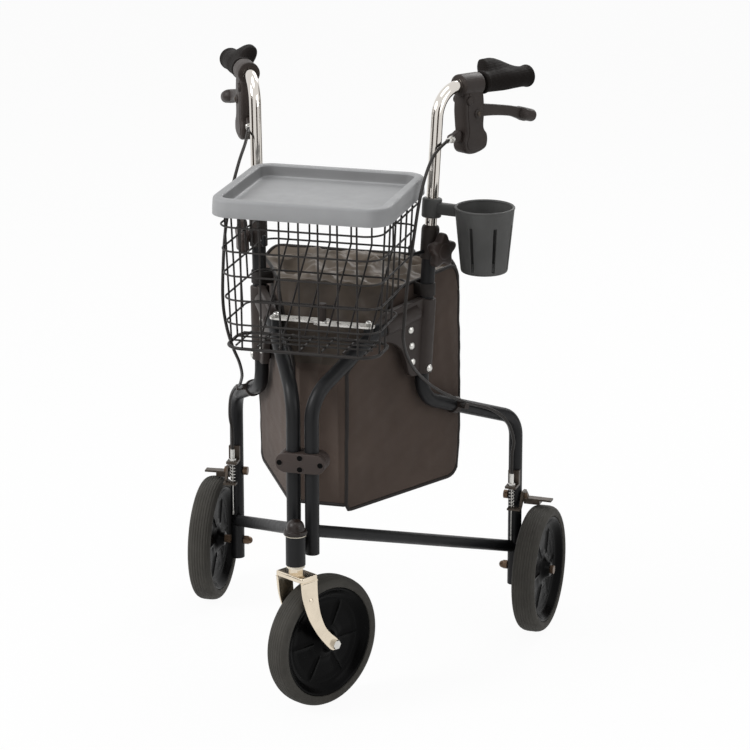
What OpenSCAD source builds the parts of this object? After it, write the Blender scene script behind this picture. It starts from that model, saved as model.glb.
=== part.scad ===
// Three wheel rollator, a folding walking aid with a wire basket, tray, bag and cup holder.
// Millimetres, Z up, the caster points to -Y, the user stands at +Y.

/* [Frame] */
// Outer diameter of the frame tubes
tube_d = 22; // [20:0.5:25]
// Angle of each side frame from straight back, in degrees
splay = 28.5; // [24:0.5:32]
// Distance between the two front posts, centre to centre
post_gap = 29; // [28:0.5:36]
// Height of the top end of the uprights
upright_top = 700; // [690:1:705]
// Backward lean of the uprights, in degrees
upright_lean = 4.5; // [3:0.5:6]

/* [Handles] */
// Outer diameter of the chromed handle tubes
handle_d = 18.6; // [17:0.1:19]
// Height of the corner where the handle tube turns back
handle_top = 916; // [905:1:930]
// Length of the hand grip
grip_length = 116; // [110:1:125]

/* [Wheels] */
// Outer diameter of the tyres
wheel_d = 206; // [190:1:215]
// Width of the tyres
tyre_w = 38; // [30:1:40]
// Distance from the swivel axis back to the caster's axle
caster_trail = 54; // [48:1:60]
// How far the caster is turned from straight back, in degrees
caster_turn = 30; // [0:5:90]

/* [Basket and tray] */
// Width of the basket at its top
basket_w = 256; // [240:1:260]
// Diameter of the basket wires
wire_d = 3; // [2.5:0.1:3.6]
// Height of the tray's rim
tray_h = 27; // [22:1:32]

/* [Bag and cup holder] */
// Height of the bag
bag_h = 360; // [330:5:365]
// Outer diameter of the cup holder at its rim
cup_d = 92; // [84:1:96]
// Height of the cup holder
cup_h = 102; // [90:1:110]

/* [Hidden] */
$fn = 48;

// The front posts stand this far ahead of the middle of the whole object
post_y = -210.05;
post_x = post_gap / 2;

// Small gaps: between welded or clamped pieces, for running shafts, and between loose pieces
weld_gap = 0.02;
// A thin ring bridges each joint of a bent tube: half its length, and how far it stands proud
bridge_half = 0.4;
bridge_proud = 0.05;
run_gap = 0.05;
free_gap = 0.4;

// Side frame, as points of distance from the post and height
axle_z = wheel_d / 2;
lift = wheel_d - 200;
tube_bore = handle_d + 2 * run_gap;
post_foot_z = 238 + lift;
post_bend_z = 485 + lift;
rail_corner = [140, 560 + lift];
rail_end = [224, 574 + lift];
knee = [239, 433 + lift];
hip = [463, 350 + lift];
leg_foot_z = axle_z - 30;
post_bend_r = 60;
main_bend_r = 45;
bar_d = 19;
bar_front_z = 275 + lift;
bar_rear_z = 130 + lift;
top_z = upright_top + lift;

// Rear axle: the wheels stand nearly along the walking direction
rear_toe = 3;
axle_turn = splay - rear_toe;
wheel_out = 41.6;
axle_d = 8;
boss_half = 20;
tyre_depth = 17;
fit_gap = 0.3;
hub_r = wheel_d / 2 - tyre_depth;
nut_d = 15;

// Rear brake, in the axle's own frame
brake_pivot_z = wheel_d + 18;
brake_line = [1, -24];
stop_z = wheel_d + 38;
arm_tab_z = wheel_d + 1;
spring_r = 3.9;
spring_wire_d = 1.2;
spring_turns = 6;

// Side bracket, brace and rivets
bracket_half = 6;
bracket_bottom_z = 474 + lift;
bracket_top_z = 592 + lift;
brace_u = 123;
brace_z = 570.5 + lift;
brace_thick = 3;
brace_w = 20;
rivets = [[211, 549], [213, 523], [215, 497]];

// Handle group
knob_z = 670 + lift;
knob_d = 56;
knob_out = 18;
knob_thick = 16;
collar_d = tube_d + 6;
grip_turn = -3;
lever_pivot = [handle_corner()[0] + 73, handle_top - 48];
lever_half = 4.5;

// Caster
head_y = -40;
head_d = 30;
head_bore = 20;
head_bottom_z = wheel_d + 33;
head_top_z = wheel_d + 82;
stem_d = 12;
fork_thick = 3;
fork_inner = tyre_w / 2 + 6;
crown_z = wheel_d + 16;
crown_thick = 4;
crown_x = [-15, 19];
bush_flange = 3.6;

// Hinge block
block_z = 385 + lift;
block_h = 31;
block_half_w = post_x + 24.5;
block_depth = 16;
screw_out = post_x + 17.5;

// Basket: levels from the floor to the top rim
levels = 7;
rim_d = 5;
floor_z = 558.5 + lift;
rim_z = 784 + lift;
kink_level = 3;
front_corner_r = 28;
back_corner_r = 24;
floor_back_y = 73;
back_y = 213;
basket_gap = 0.1;
wire_trim = 0.1;
wire_fn = 28;

// Tray
tray_wall = 3;
tray_top_z = rim_z + rim_d / 2 + 0.4 + tray_wall;

// Hook
hook_d = 6;

// Frames of reference

// The middle of the rollator, measured from the front posts
module middle() {
  translate([0, post_y, 0]) children();
}

// The plane of the right side frame: X outward, Y back along the frame
module right_side() {
  middle() translate([post_x, 0, 0]) rotate([0, 0, -splay]) children();
}

// The mirrored left side frame
module left_side() {
  mirror([1, 0, 0]) right_side() children();
}

// A height on the upright, with Z along the tube
function upright_u(z) = knee[0] + (z - knee[1]) * tan(upright_lean);

module on_upright(z) {
  translate([0, upright_u(z), z]) rotate([-upright_lean, 0, 0]) children();
}

// The rear leg at the axle, with X along the axle and outward
module on_axle(z = axle_z) {
  translate([0, hip[0], z]) rotate([0, 0, axle_turn]) children();
}

// The handle's grip line, with Z back along the tube
function handle_corner() = [upright_u(handle_top + lift), handle_top + lift];

module on_grip(distance) {
  translate([0, handle_corner()[0], handle_corner()[1]])
    rotate([grip_turn, 0, 0]) translate([0, distance, 0]) rotate([-90, 0, 0]) children();
}

// The caster's fork, with X along its trail
module on_caster() {
  middle() translate([0, head_y, 0]) rotate([0, 0, 90 - caster_turn]) children();
}

// Tubes

function unit(v) = v / norm(v);
function bend_turn(a, b, c) =
  let (d = unit(b - a), e = unit(c - b)) atan2(d[0] * e[1] - d[1] * e[0], d * e);
function bend_tangent(a, b, c, r) = r * tan(abs(bend_turn(a, b, c)) / 2);

module ring(outer_d, bore_d) {
  difference() {
    circle(d = outer_d);
    circle(d = bore_d);
  }
}

// A thin ring that joins a straight length of tube to a bend
module tube_bridge(at, along, outer_d, bore_d) {
  straight_tube(at - bridge_half * along, at + bridge_half * along,
    outer_d + 2 * bridge_proud, bore_d - 2 * bridge_proud);
}

// A straight tube between two points of the side plane
module straight_tube(a, b, outer_d, bore_d) {
  span = b - a;
  translate([0, a[0], a[1]]) rotate([-atan2(span[0], span[1]), 0, 0])
    linear_extrude(norm(span)) ring(outer_d, bore_d);
}

// One bend of a tube, from the line a-b into the line b-c
module tube_bend(a, b, c, r, outer_d, bore_d) {
  turn = bend_turn(a, b, c);
  side = turn > 0 ? 1 : -1;
  along = unit(b - a);
  start = b - along * bend_tangent(a, b, c, r);
  inward = side * [-along[1], along[0]];
  centre = start + r * inward;
  trim = asin(bridge_half / 2 / r);
  tube_bridge(start, along, outer_d, bore_d);
  tube_bridge(b + unit(c - b) * norm(b - start), unit(c - b), outer_d, bore_d);
  multmatrix([
    [0, 0, side, 0],
    [-inward[0], along[0], 0, centre[0]],
    [-inward[1], along[1], 0, centre[1]],
    [0, 0, 0, 1]
  ])
    rotate([0, 0, trim]) rotate_extrude(angle = abs(turn) - 2 * trim) translate([r, 0]) ring(outer_d, bore_d);
}

// A round tube bent in the side plane through a list of corners
module bent_tube(points, r, outer_d, bore_d) {
  last = len(points) - 1;
  for (i = [0 : last - 1]) {
    along = unit(points[i + 1] - points[i]);
    from_cut = i == 0 ? 0 : bend_tangent(points[i - 1], points[i], points[i + 1], r) + bridge_half / 2;
    to_cut = i == last - 1 ? 0 : bend_tangent(points[i], points[i + 1], points[i + 2], r) + bridge_half / 2;
    straight_tube(points[i] + along * from_cut, points[i + 1] - along * to_cut, outer_d, bore_d);
  }
  for (i = [1 : last - 1]) tube_bend(points[i - 1], points[i], points[i + 1], r, outer_d, bore_d);
}

// A plain round bar between two points in space
module bar(a, b, d) {
  span = b - a;
  translate(a) rotate([0, acos(span[2] / norm(span)), atan2(span[1], span[0])])
    cylinder(h = norm(span), d = d);
}

// A rectangle with round corners, centred
module rounded(size, r) {
  square([size[0] - 2 * r, size[1]], center = true);
  square([size[0], size[1] - 2 * r], center = true);
  for (sx = [-1, 1], sy = [-1, 1])
    translate([sx * (size[0] / 2 - r), sy * (size[1] / 2 - r)]) circle(r = r);
}

// Side frame pieces, all drawn for the right side

main_path = [[upright_u(top_z), top_z], knee, hip, [hip[0], leg_foot_z]];
post_path = [[0, post_foot_z], [0, post_bend_z], rail_corner, rail_end];

module main_tube() {
  color("#15191f") {
    difference() {
      bent_tube(main_path, main_bend_r, tube_d, tube_bore);
      on_axle() rotate([0, 90, 0]) cylinder(h = 2 * tube_d, d = axle_d + 2 * run_gap, center = true);
      on_axle(brake_pivot_z) rotate([0, 90, 0])
        cylinder(h = 2 * tube_d, d = 6 + 2 * run_gap, center = true);
      on_upright(knob_z) rotate([0, 90, 0]) cylinder(h = tube_d, d = 6.6);
    }
    basket_hook();
  }
}

// The pin that carries the basket, welded to the front of the upright
hook_z = floor_z + (rim_z - floor_z) * kink_level / (levels - 1) - wire_d / 2 - 0.5 - hook_d / 2;
hook_reach = 43;

module basket_hook() {
  weld_u = upright_u(hook_z) - tube_d / 2 + 0.8;
  tip_u = upright_u(hook_z) - hook_reach;
  bar([0, weld_u, hook_z], [0, tip_u, hook_z], hook_d);
  translate([0, tip_u, hook_z]) sphere(d = hook_d);
  bar([0, tip_u, hook_z], [0, tip_u, hook_z + 13], hook_d);
  translate([0, tip_u, hook_z + 13]) sphere(d = hook_d);
}

function rail_z(u) = post_bend_z + (rail_corner[1] - post_bend_z) * u / rail_corner[0];

// One front post; the boss carries the brace's pivot
module front_post(boss_top) {
  color("#15191f") {
    difference() {
      bent_tube(post_path, post_bend_r, tube_d, tube_bore);
      translate([0, brace_u, rail_z(brace_u)]) cylinder(h = tube_d, d = 8);
    }
    difference() {
      translate([0, brace_u, rail_z(brace_u) + 8]) cylinder(h = boss_top - rail_z(brace_u) - 8, d = 15);
      translate([0, brace_u, rail_z(brace_u)]) cylinder(h = 2 * tube_d, d = 6 + 2 * run_gap);
    }
  }
}

module lower_bar() {
  foot = [4, bar_front_z + (bar_rear_z - bar_front_z) * 4 / hip[0]];
  head = [hip[0] - 4, bar_rear_z - (bar_rear_z - bar_front_z) * 4 / hip[0]];
  color("#15191f") difference() {
    straight_tube(foot, head, bar_d, bar_d - 3);
    translate([0, 0, post_foot_z - 20]) cylinder(h = 100, d = tube_d + 2 * weld_gap);
    translate([0, hip[0], leg_foot_z]) cylinder(h = 200, d = tube_d + 2 * weld_gap);
  }
}

// The moulded bracket that joins the post's rail to the upright
module side_bracket() {
  plate = [
    [136, 543 + lift], [150, 584 + lift], [200, bracket_top_z], [upright_u(bracket_top_z), bracket_top_z],
    [upright_u(bracket_bottom_z), bracket_bottom_z], [208, bracket_bottom_z + 4], [197, 505 + lift]
  ];
  rail_along = unit(rail_end - rail_corner);
  color("#1b1a19") difference() {
    union() {
      rotate([90, 0, 90]) translate([0, 0, -bracket_half]) linear_extrude(2 * bracket_half) polygon(plate);
      on_upright(bracket_bottom_z) cylinder(h = 118, d = tube_d + 8);
      straight_tube(rail_corner + 14 * rail_along, rail_end + 3 * rail_along, tube_d + 6, 1);
    }
    on_upright(bracket_bottom_z) translate([0, 0, -30]) cylinder(h = 200, d = tube_d + 2 * weld_gap);
    straight_cut(rail_corner - 2 * rail_along, rail_end + 0.2 * rail_along, tube_d + 2 * bridge_proud + 2 * run_gap);
    straight_cut(post_path[1], rail_corner, tube_d + 2);
    straight_cut(rail_corner, rail_corner + 11 * rail_along, tube_d + 2);
    for (p = rivets) translate([0, p[0], p[1] + lift]) rotate([0, 90, 0])
      cylinder(h = 4 * bracket_half, d = 5 + 2 * run_gap, center = true);
    translate([0, upright_u(483 + lift), 483 + lift]) rotate([0, 90, 0])
      cylinder(h = 40, d = 5 + 2 * run_gap);
  }
}

module straight_cut(a, b, d) {
  span = b - a;
  translate([0, a[0], a[1]]) rotate([-atan2(span[0], span[1]), 0, 0]) cylinder(h = norm(span), d = d);
}

// Bright rivets of the bracket, and the bolt that carries the brace
module rivet_set(boss_top) {
  head_h = 2.4;
  color("#c9c9c6") {
    for (p = rivets) translate([0, p[0], p[1] + lift]) rotate([0, 90, 0]) {
      translate([0, 0, bracket_half + 0.1]) cylinder(h = head_h, d = 9);
      translate([0, 0, -bracket_half]) cylinder(h = 2 * bracket_half + 0.2, d = 5);
    }
    translate([tube_d / 2 + 0.6, upright_u(483 + lift), 483 + lift]) rotate([0, 90, 0]) {
      cylinder(h = 4, d = 5);
      translate([0, 0, 3.6]) cylinder(h = head_h, d = 9);
    }
    brace_bolt(boss_top);
  }
}

// Bolt through one brace link into its boss
module brace_bolt(boss_top) {
  translate([0, brace_u, boss_top]) {
    translate([0, 0, -10]) cylinder(h = 10 + brace_thick + 1, d = 6);
    translate([0, 0, brace_thick + 0.6]) cylinder(h = 4.5, d = 12, $fn = 6);
    translate([0, 0, brace_thick + 5]) cylinder(h = 2.5, d = 8);
  }
}

// Black collar on the upright's top end, bored for the clamp knob
module tube_collar() {
  length = 52;
  start = top_z + 6 - length;
  color("#1d1b1a") difference() {
    union() {
      on_upright(start) cylinder(h = length, d = collar_d);
      on_upright(knob_z) rotate([0, 90, 0]) cylinder(h = knob_out - free_gap, d = 18);
    }
    on_upright(start) translate([0, 0, -1]) cylinder(h = length - 3, d = tube_d + 2 * fit_gap);
    on_upright(start) cylinder(h = 2 * length, d = handle_d + 4 * run_gap);
    on_upright(knob_z) rotate([0, 90, 0]) cylinder(h = 40, d = 6.6);
    hook_slot(start);
  }
}

// Slot in the collar's lower edge that slides over the basket's pin
module hook_slot(start) {
  slot = hook_d + 2 * fit_gap;
  tip_u = upright_u(hook_z) - hook_reach;
  translate([0, tip_u, hook_z]) rotate([-90, 0, 0]) cylinder(h = hook_reach, d = slot);
  translate([-slot / 2, tip_u, start - collar_d / 2]) cube([slot, hook_reach, hook_z - start + collar_d / 2]);
}

// Five-lobed clamp knob with its stud
module star_knob() {
  lobes = 5;
  lobe_d = knob_d * 0.36;
  stud_start = handle_d / 2 + free_gap;
  color("#241f1d") on_upright(knob_z) rotate([0, 90, 0]) {
    translate([0, 0, knob_out]) linear_extrude(knob_thick) {
      circle(d = knob_d * 0.66);
      for (i = [0 : lobes - 1]) rotate(i * 360 / lobes) translate([(knob_d - lobe_d) / 2, 0]) circle(d = lobe_d);
    }
    translate([0, 0, stud_start]) cylinder(h = knob_out - stud_start + 1, d = 6);
  }
}

// Handle pieces

handle_foot_z = 560 + lift;
handle_reach = 205;

module handle_tube() {
  corner = handle_corner();
  tip = corner + handle_reach * [cos(grip_turn), sin(grip_turn)];
  color("#d8d8d8")
    bent_tube([[upright_u(handle_foot_z), handle_foot_z], corner, tip], main_bend_r, handle_d, handle_d - 3);
}

// Soft grip with a palm wing
module hand_grip() {
  start = handle_reach - grip_length + 4;
  color("#161514") difference() {
    union() {
      on_grip(start) cylinder(h = grip_length - 2, d = 32);
      on_grip(start) cylinder(h = 9, d = 36);
      on_grip(start + grip_length - 14) cylinder(h = 12, d = 35);
      on_grip(start + 34) translate([0, -15, 0]) rotate([90, 0, 0])
        linear_extrude(8, center = true) rounded([46, 56], 18);
    }
    on_grip(start - 1) cylinder(h = grip_length, d = handle_d + 2 * weld_gap);
  }
}

// Moulded housing that clamps on the handle and holds lever and cable
module brake_housing() {
  half = 13;
  body = [
    [49, -8], [87, -10], [91, -24], [94, -84], [98, -92], [94, -104], [73, -112], [57, -106],
    [45, -88], [29, -86], [27, -78], [43, -70], [45, -40]
  ];
  slot = [[63, -66], [63, -32], [123, -20], [123, -86], [85, -74]];
  color("#241f1c") difference() {
    union() {
      rotate([90, 0, 90]) translate([0, 0, -half]) linear_extrude(2 * half)
        polygon([for (p = body) handle_corner() + p]);
      on_grip(46) cylinder(h = 42, d = 34);
    }
    on_grip(40) cylinder(h = 60, d = handle_d + 2 * weld_gap);
    rotate([90, 0, 90]) translate([0, 0, -lever_half - free_gap]) linear_extrude(2 * (lever_half + free_gap))
      polygon([for (p = slot) handle_corner() + p]);
  }
  color("#8a8a88") translate([-half + 1, lever_pivot[0], lever_pivot[1] + lift])
    rotate([0, 90, 0]) cylinder(h = 2 * half - 2, d = 5);
}

// Brake lever with a paddle end
module brake_lever() {
  arm = [
    [73, -39.5], [85, -38], [123, -46], [163, -54], [191, -62], [195, -74], [163, -65], [123, -58],
    [81, -55], [73, -56.5]
  ];
  paddle = handle_corner() + [197, -70];
  color("#1f1c1a") difference() {
    union() {
      rotate([90, 0, 90]) translate([0, 0, -lever_half]) linear_extrude(2 * lever_half) {
        polygon([for (p = arm) handle_corner() + p]);
        translate([lever_pivot[0], lever_pivot[1] + lift]) circle(d = 17);
      }
      translate([0, paddle[0], paddle[1]]) rotate([-18, 0, 0]) translate([0, 0, -6])
        linear_extrude(12) rounded([26, 34], 11);
    }
    translate([-20, lever_pivot[0], lever_pivot[1] + lift]) rotate([0, 90, 0])
      cylinder(h = 40, d = 5 + 2 * run_gap);
  }
}

// Rear brake pieces, drawn in the axle's frame

module brake_bracket() {
  color("#3a3733") on_axle(0) difference() {
    union() {
      translate([-8, brake_line[1] - 8, stop_z]) cube([18, -brake_line[1] + 2, 4]);
      translate([-8, -tube_d / 2 - 3, stop_z]) cube([18, 9, 26]);
    }
    translate([0, 0, stop_z - 5]) cylinder(h = 60, d = tube_d + 2 * weld_gap);
    translate([brake_line[0], brake_line[1], stop_z - 5]) cylinder(h = 20, d = 7 + 2 * run_gap);
  }
}

// Silver barrel and nut at the cable's end, with the bare inner wire
module cable_adjuster() {
  wire_end = wheel_d - 48;
  color("#c4c4c0") on_axle(0) translate([brake_line[0], brake_line[1], 0]) {
    translate([0, 0, stop_z]) cylinder(h = 24, d = 7);
    translate([0, 0, stop_z + 4.1]) cylinder(h = 4, d = 11.5, $fn = 6);
    translate([0, 0, wire_end]) cylinder(h = stop_z - wire_end + 1, d = 1.6);
    translate([0, 0, wire_end - 3]) cylinder(h = 6, d = 3);
  }
}

// Return spring as one round wire wound in a helix
spring_bottom = arm_tab_z + 3 + 0.3 + spring_wire_d / 2;
spring_top = stop_z - 0.3 - spring_wire_d / 2;
spring_rings = 8 * spring_turns;
spring_sides = 6;

function spring_point(i, j) =
  let (
    turn = 360 * i / 8,
    around = 360 * j / spring_sides,
    r = spring_r + spring_wire_d / 2 * cos(around)
  )
  [r * cos(turn), r * sin(turn),
    spring_bottom + (spring_top - spring_bottom) * i / spring_rings + spring_wire_d / 2 * sin(around)];

// Middle of the wire at a station, and the least gap between one curl and the next
function spring_middle(i) = (spring_point(i, 0) + spring_point(i, spring_sides / 2)) / 2;
echo(spring_self_gap = min([
  for (i = [0 : spring_rings - 6], k = [6 : 10]) if (i + k <= spring_rings)
    norm(spring_middle(i + k) - spring_middle(i))
]) - spring_wire_d);

// Closed skin of a sweep with a ring of points at each station
function sweep_faces(rings, sides) = concat(
  [[for (j = [0 : sides - 1]) j]],
  [for (i = [0 : rings - 1], j = [0 : sides - 1])
    let (k = (j + 1) % sides)
    [i * sides + j, (i + 1) * sides + j, (i + 1) * sides + k, i * sides + k]],
  [[for (j = [sides - 1 : -1 : 0]) rings * sides + j]]
);

module brake_spring() {
  color("#d0d0cc") on_axle(0) translate([brake_line[0], brake_line[1], 0])
    polyhedron(
      [for (i = [0 : spring_rings], j = [0 : spring_sides - 1]) spring_point(i, j)],
      sweep_faces(spring_rings, spring_sides), convexity = 8
    );
}

// Rocking arm with the shoe over the tyre, on a bolt through the leg
arm_out = tube_d / 2 + 1.4;
shoe_gap = 1.5;
shoe_length = 26;
pedal_gap = 8;

module brake_arm() {
  profile = [
    [-30, 1], [-17, 1], [-8, 10], [8, 10], [9, shoe_gap], [25, shoe_gap], [25, 12], [10, 26], [-8, 27],
    [-18, 6], [-30, 4]
  ];
  color("#4a4641") on_axle(0) difference() {
    union() {
      translate([arm_out, 0, wheel_d]) rotate([90, 0, 90]) linear_extrude(4) polygon(profile);
      translate([-5, -30, arm_tab_z]) cube([arm_out + 9, 12, 3]);
      translate([arm_out, 9, wheel_d + shoe_gap]) cube([shoe_length, 16, 9]);
      translate([arm_out, 9, wheel_d + pedal_gap]) cube([wheel_out + 16 - arm_out, 14, 3]);
    }
    translate([0, 0, brake_pivot_z]) rotate([0, 90, 0]) cylinder(h = 100, d = 6 + 2 * run_gap);
    translate([brake_line[0], brake_line[1], arm_tab_z - 1]) cylinder(h = 5, d = 6.6);
  }
}

// Rear wheel pieces

module tyre_ring() {
  inner = hub_r + fit_gap;
  outer = wheel_d / 2;
  shoulder = (outer - inner) / 2;
  rotate_extrude() {
    translate([inner, -tyre_w / 2]) square([outer - shoulder - inner, tyre_w]);
    translate([inner, -tyre_w / 2 + shoulder]) square([outer - inner, tyre_w - 2 * shoulder]);
    for (s = [-1, 1]) translate([outer - shoulder, s * (tyre_w / 2 - shoulder)]) circle(r = shoulder);
  }
}

module hub_dish() {
  rim_half = tyre_w / 2 - 3;
  rotate_extrude() polygon([
    [axle_d / 2 + run_gap, -boss_half], [15, -boss_half], [18, -9], [hub_r - 16, -7], [hub_r - 11, -rim_half],
    [hub_r, -rim_half], [hub_r, rim_half], [hub_r - 11, rim_half], [hub_r - 16, 7], [18, 9], [15, boss_half],
    [axle_d / 2 + run_gap, boss_half]
  ]);
}

module rear_tyre() {
  color("#3c3d3f") on_axle() translate([wheel_out, 0, 0]) rotate([0, 90, 0]) tyre_ring();
}

module rear_hub() {
  color("#141414") on_axle() translate([wheel_out, 0, 0]) rotate([0, 90, 0]) hub_dish();
}

// Axle bolt with its acorn nut and spacer, and the brake's pivot bolt
module rear_axle() {
  tip = wheel_out + boss_half + free_gap;
  wall = tube_d / 2 + 0.3;
  color("#b9b9b5") {
    on_axle() rotate([0, 90, 0]) {
      translate([0, 0, -wall - 10]) cylinder(h = wall + 10 + tip + 5, d = axle_d);
      translate([0, 0, -wall - 7]) cylinder(h = 7, d = nut_d, $fn = 6);
      translate([0, 0, -wall - 8]) sphere(d = 12);
      translate([0, 0, wall]) cylinder(h = wheel_out - boss_half - free_gap - wall, d = 13);
      translate([0, 0, tip]) cylinder(h = 5, d = nut_d, $fn = 6);
    }
    on_axle(brake_pivot_z) rotate([0, 90, 0]) {
      translate([0, 0, -wall - 4]) cylinder(h = wall + 4 + arm_out + 6, d = 6);
      translate([0, 0, -wall - 7]) cylinder(h = 7, d = 14);
      translate([0, 0, arm_out + 4.4]) cylinder(h = 4, d = 11, $fn = 6);
    }
  }
}

// Brake cable, one black sleeve along its whole route
cable_d = 5;
cable_sides = 8;
cable_steps = 6;
cable_foot = [
  hip[0] + brake_line[0] * sin(axle_turn) + brake_line[1] * cos(axle_turn),
  brake_line[0] * cos(axle_turn) - brake_line[1] * sin(axle_turn)
];
cable_route = [
  [5, 301, handle_top - 82], [10, 282, handle_top - 83], [22, 244, handle_top - 94],
  [40, 206, handle_top - 116], [58, 172, handle_top - 152], [74, 142, handle_top - 206],
  [82, 122, handle_top - 262], [84, 114, handle_top - 310], [78, 118, handle_top - 350],
  [64, 146, handle_top - 390], [46, 190, handle_top - 428], [31, 246, handle_top - 466],
  [22, 306, 418], [18, 340, 403], [17, 385, 384], [17, 422, 356], [15, 441, 320],
  [cable_foot[1], cable_foot[0], stop_z + 56 - lift], [cable_foot[1], cable_foot[0], stop_z + 24.2 - lift]
];

// Smooth curve through the route's points
function curve_point(p, i, t) =
  let (
    last = len(p) - 1,
    a = p[max(i - 1, 0)],
    b = p[i],
    c = p[min(i + 1, last)],
    d = p[min(i + 2, last)]
  )
  0.5 * (2 * b + (c - a) * t + (2 * a - 5 * b + 4 * c - d) * t * t + (3 * b - a - 3 * c + d) * t * t * t);

function cable_points() = [
  for (i = [0 : len(cable_route) - 2], s = [0 : cable_steps - 1]) if (s % 2 == 0)
    curve_point(cable_route, i, s / cable_steps),
  cable_route[len(cable_route) - 1]
];

module brake_cable() {
  line = cable_points();
  last = len(line) - 1;
  color("#121212") translate([0, 0, lift]) polyhedron(
    [for (i = [0 : last], j = [0 : cable_sides - 1])
      let (
        ahead = unit(line[min(i + 1, last)] - line[max(i - 1, 0)]),
        across = unit(cross(ahead, abs(ahead[2]) < 0.9 ? [0, 0, 1] : [1, 0, 0])),
        over = cross(ahead, across),
        angle = 360 * j / cable_sides
      )
      line[i] + cable_d / 2 * (cos(angle) * across + sin(angle) * over)],
    sweep_faces(last, cable_sides), convexity = 6
  );
}

// Clip that holds the cable to the sloping part of the main tube
module cable_clip() {
  along = unit(hip - knee);
  at = knee + 82 * along;
  color("#151413") difference() {
    union() {
      straight_cut(at - 5 * along, at + 5 * along, tube_d + 5);
      translate([0, at[0], at[1]]) rotate([atan2(along[1], along[0]), 0, 0]) translate([9, -5, -2]) cube([18, 10, 9]);
    }
    straight_cut(at - 20 * along, at + 20 * along, tube_d + 2 * weld_gap);
    cable_room(at, along);
  }
}

// Room in the clip for the cable
module cable_room(at, along) {
  translate([21.4, at[0], at[1] + 4]) rotate([-atan2(along[0], along[1]), 0, 0])
    cylinder(h = 60, d = cable_d + 4, center = true);
}

// Front pieces

// Head tube, with the web that joins it to the left post
module head_tube() {
  reach = norm([post_x, head_y]);
  web_turn = atan2(-head_y, -post_x);
  color("#15191f") middle() difference() {
    union() {
      translate([0, head_y, head_bottom_z]) cylinder(h = head_top_z - head_bottom_z, d = head_d);
      translate([0, head_y, 0]) rotate([0, 0, web_turn])
        translate([head_d / 2 - 2, -4, head_bottom_z + 13]) cube([reach - head_d / 2 - 4, 8, 34]);
    }
    translate([0, head_y, head_bottom_z - 1]) cylinder(h = 100, d = head_bore);
    translate([-post_x, 0, head_bottom_z - 1]) cylinder(h = 100, d = tube_d + 2 * weld_gap);
  }
}

// Domed cap on the head tube
module head_cap() {
  color("#1b1a19") middle() translate([0, head_y, head_top_z + 0.05]) rotate_extrude() polygon([
    [0, 0], [16.8, 0], [17.8, 1], [17.8, 5], [17, 6.2], [14.6, 6.8], [14, 10], [13, 14.4], [10.4, 18.8],
    [6, 21.6], [0, 22.6]
  ]);
}

// Two flanged bushes that carry the fork's stem
module head_bearings() {
  color("#c8c2b0") middle() translate([0, head_y, 0]) {
    translate([0, 0, head_bottom_z - bush_flange - 0.1]) bush(bush_flange, 14);
    translate([0, 0, head_top_z - 18]) linear_extrude(17.8) ring(head_bore - 2 * weld_gap, stem_d + 2 * run_gap);
  }
}

module bush(flange_h, length) {
  linear_extrude(flange_h) ring(28, stem_d + 2 * run_gap);
  linear_extrude(flange_h + length) ring(head_bore - 2 * weld_gap, stem_d + 2 * run_gap);
}

// Chromed caster fork with its stem and lock nut
module caster_fork() {
  leg = [
    [crown_x[0], crown_z], [-13, crown_z - 18], [-11, crown_z - 32], [1, crown_z - 67], [20, axle_z + 21],
    [caster_trail - 6, axle_z - 6], [caster_trail + 6, axle_z + 6], [36, axle_z + 33], [23, crown_z - 57],
    [crown_x[1], crown_z - 32], [crown_x[1], crown_z]
  ];
  nut_z = crown_z + crown_thick - 1;
  color("#d8d8d8") on_caster() difference() {
    union() {
      translate([crown_x[0], -fork_inner - fork_thick, crown_z - 0.5])
        cube([crown_x[1] - crown_x[0], 2 * (fork_inner + fork_thick), crown_thick + 0.5]);
      for (s = [-1, 1]) translate([0, s * (fork_inner + fork_thick / 2), 0]) rotate([90, 0, 0])
        linear_extrude(fork_thick, center = true) {
          polygon(leg);
          translate([caster_trail, axle_z]) circle(d = 20);
        }
      translate([0, 0, crown_z]) cylinder(h = head_top_z - crown_z - 3, d = stem_d);
      translate([0, 0, nut_z]) cylinder(h = head_bottom_z - bush_flange - 0.6 - nut_z, d = 22, $fn = 6);
    }
    translate([caster_trail, 0, axle_z]) rotate([90, 0, 0])
      cylinder(h = 200, d = axle_d + 2 * run_gap, center = true);
  }
}

module front_hub() {
  color("#141414") on_caster() translate([caster_trail, 0, axle_z]) rotate([90, 0, 0]) hub_dish();
}

module front_tyre() {
  color("#3c3d3f") on_caster() translate([caster_trail, 0, axle_z]) rotate([90, 0, 0]) tyre_ring();
}

// Axle bolt of the caster with its nut and spacers
module front_axle() {
  outside = fork_inner + fork_thick + 0.3;
  spacer = fork_inner - boss_half - 0.6;
  color("#b9b9b5") on_caster() translate([caster_trail, 0, axle_z]) rotate([90, 0, 0]) {
    cylinder(h = 2 * outside + 8, d = axle_d, center = true);
    for (s = [-1, 1]) {
      translate([0, 0, s * (boss_half + 0.4 + spacer / 2)]) cylinder(h = spacer, d = 13, center = true);
      translate([0, 0, s * (outside + 3)]) cylinder(h = 6, d = nut_d, center = true, $fn = 6);
    }
  }
}

// Hinge block: two halves screwed together round the posts

module block_outline() {
  square([2 * block_half_w - block_h, block_h], center = true);
  for (s = [-1, 1]) translate([s * (block_half_w - block_h / 2), 0]) circle(d = block_h);
}

screw_spots = [[-screw_out, 0], [0, 9], [0, -9], [screw_out, 0]];

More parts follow.
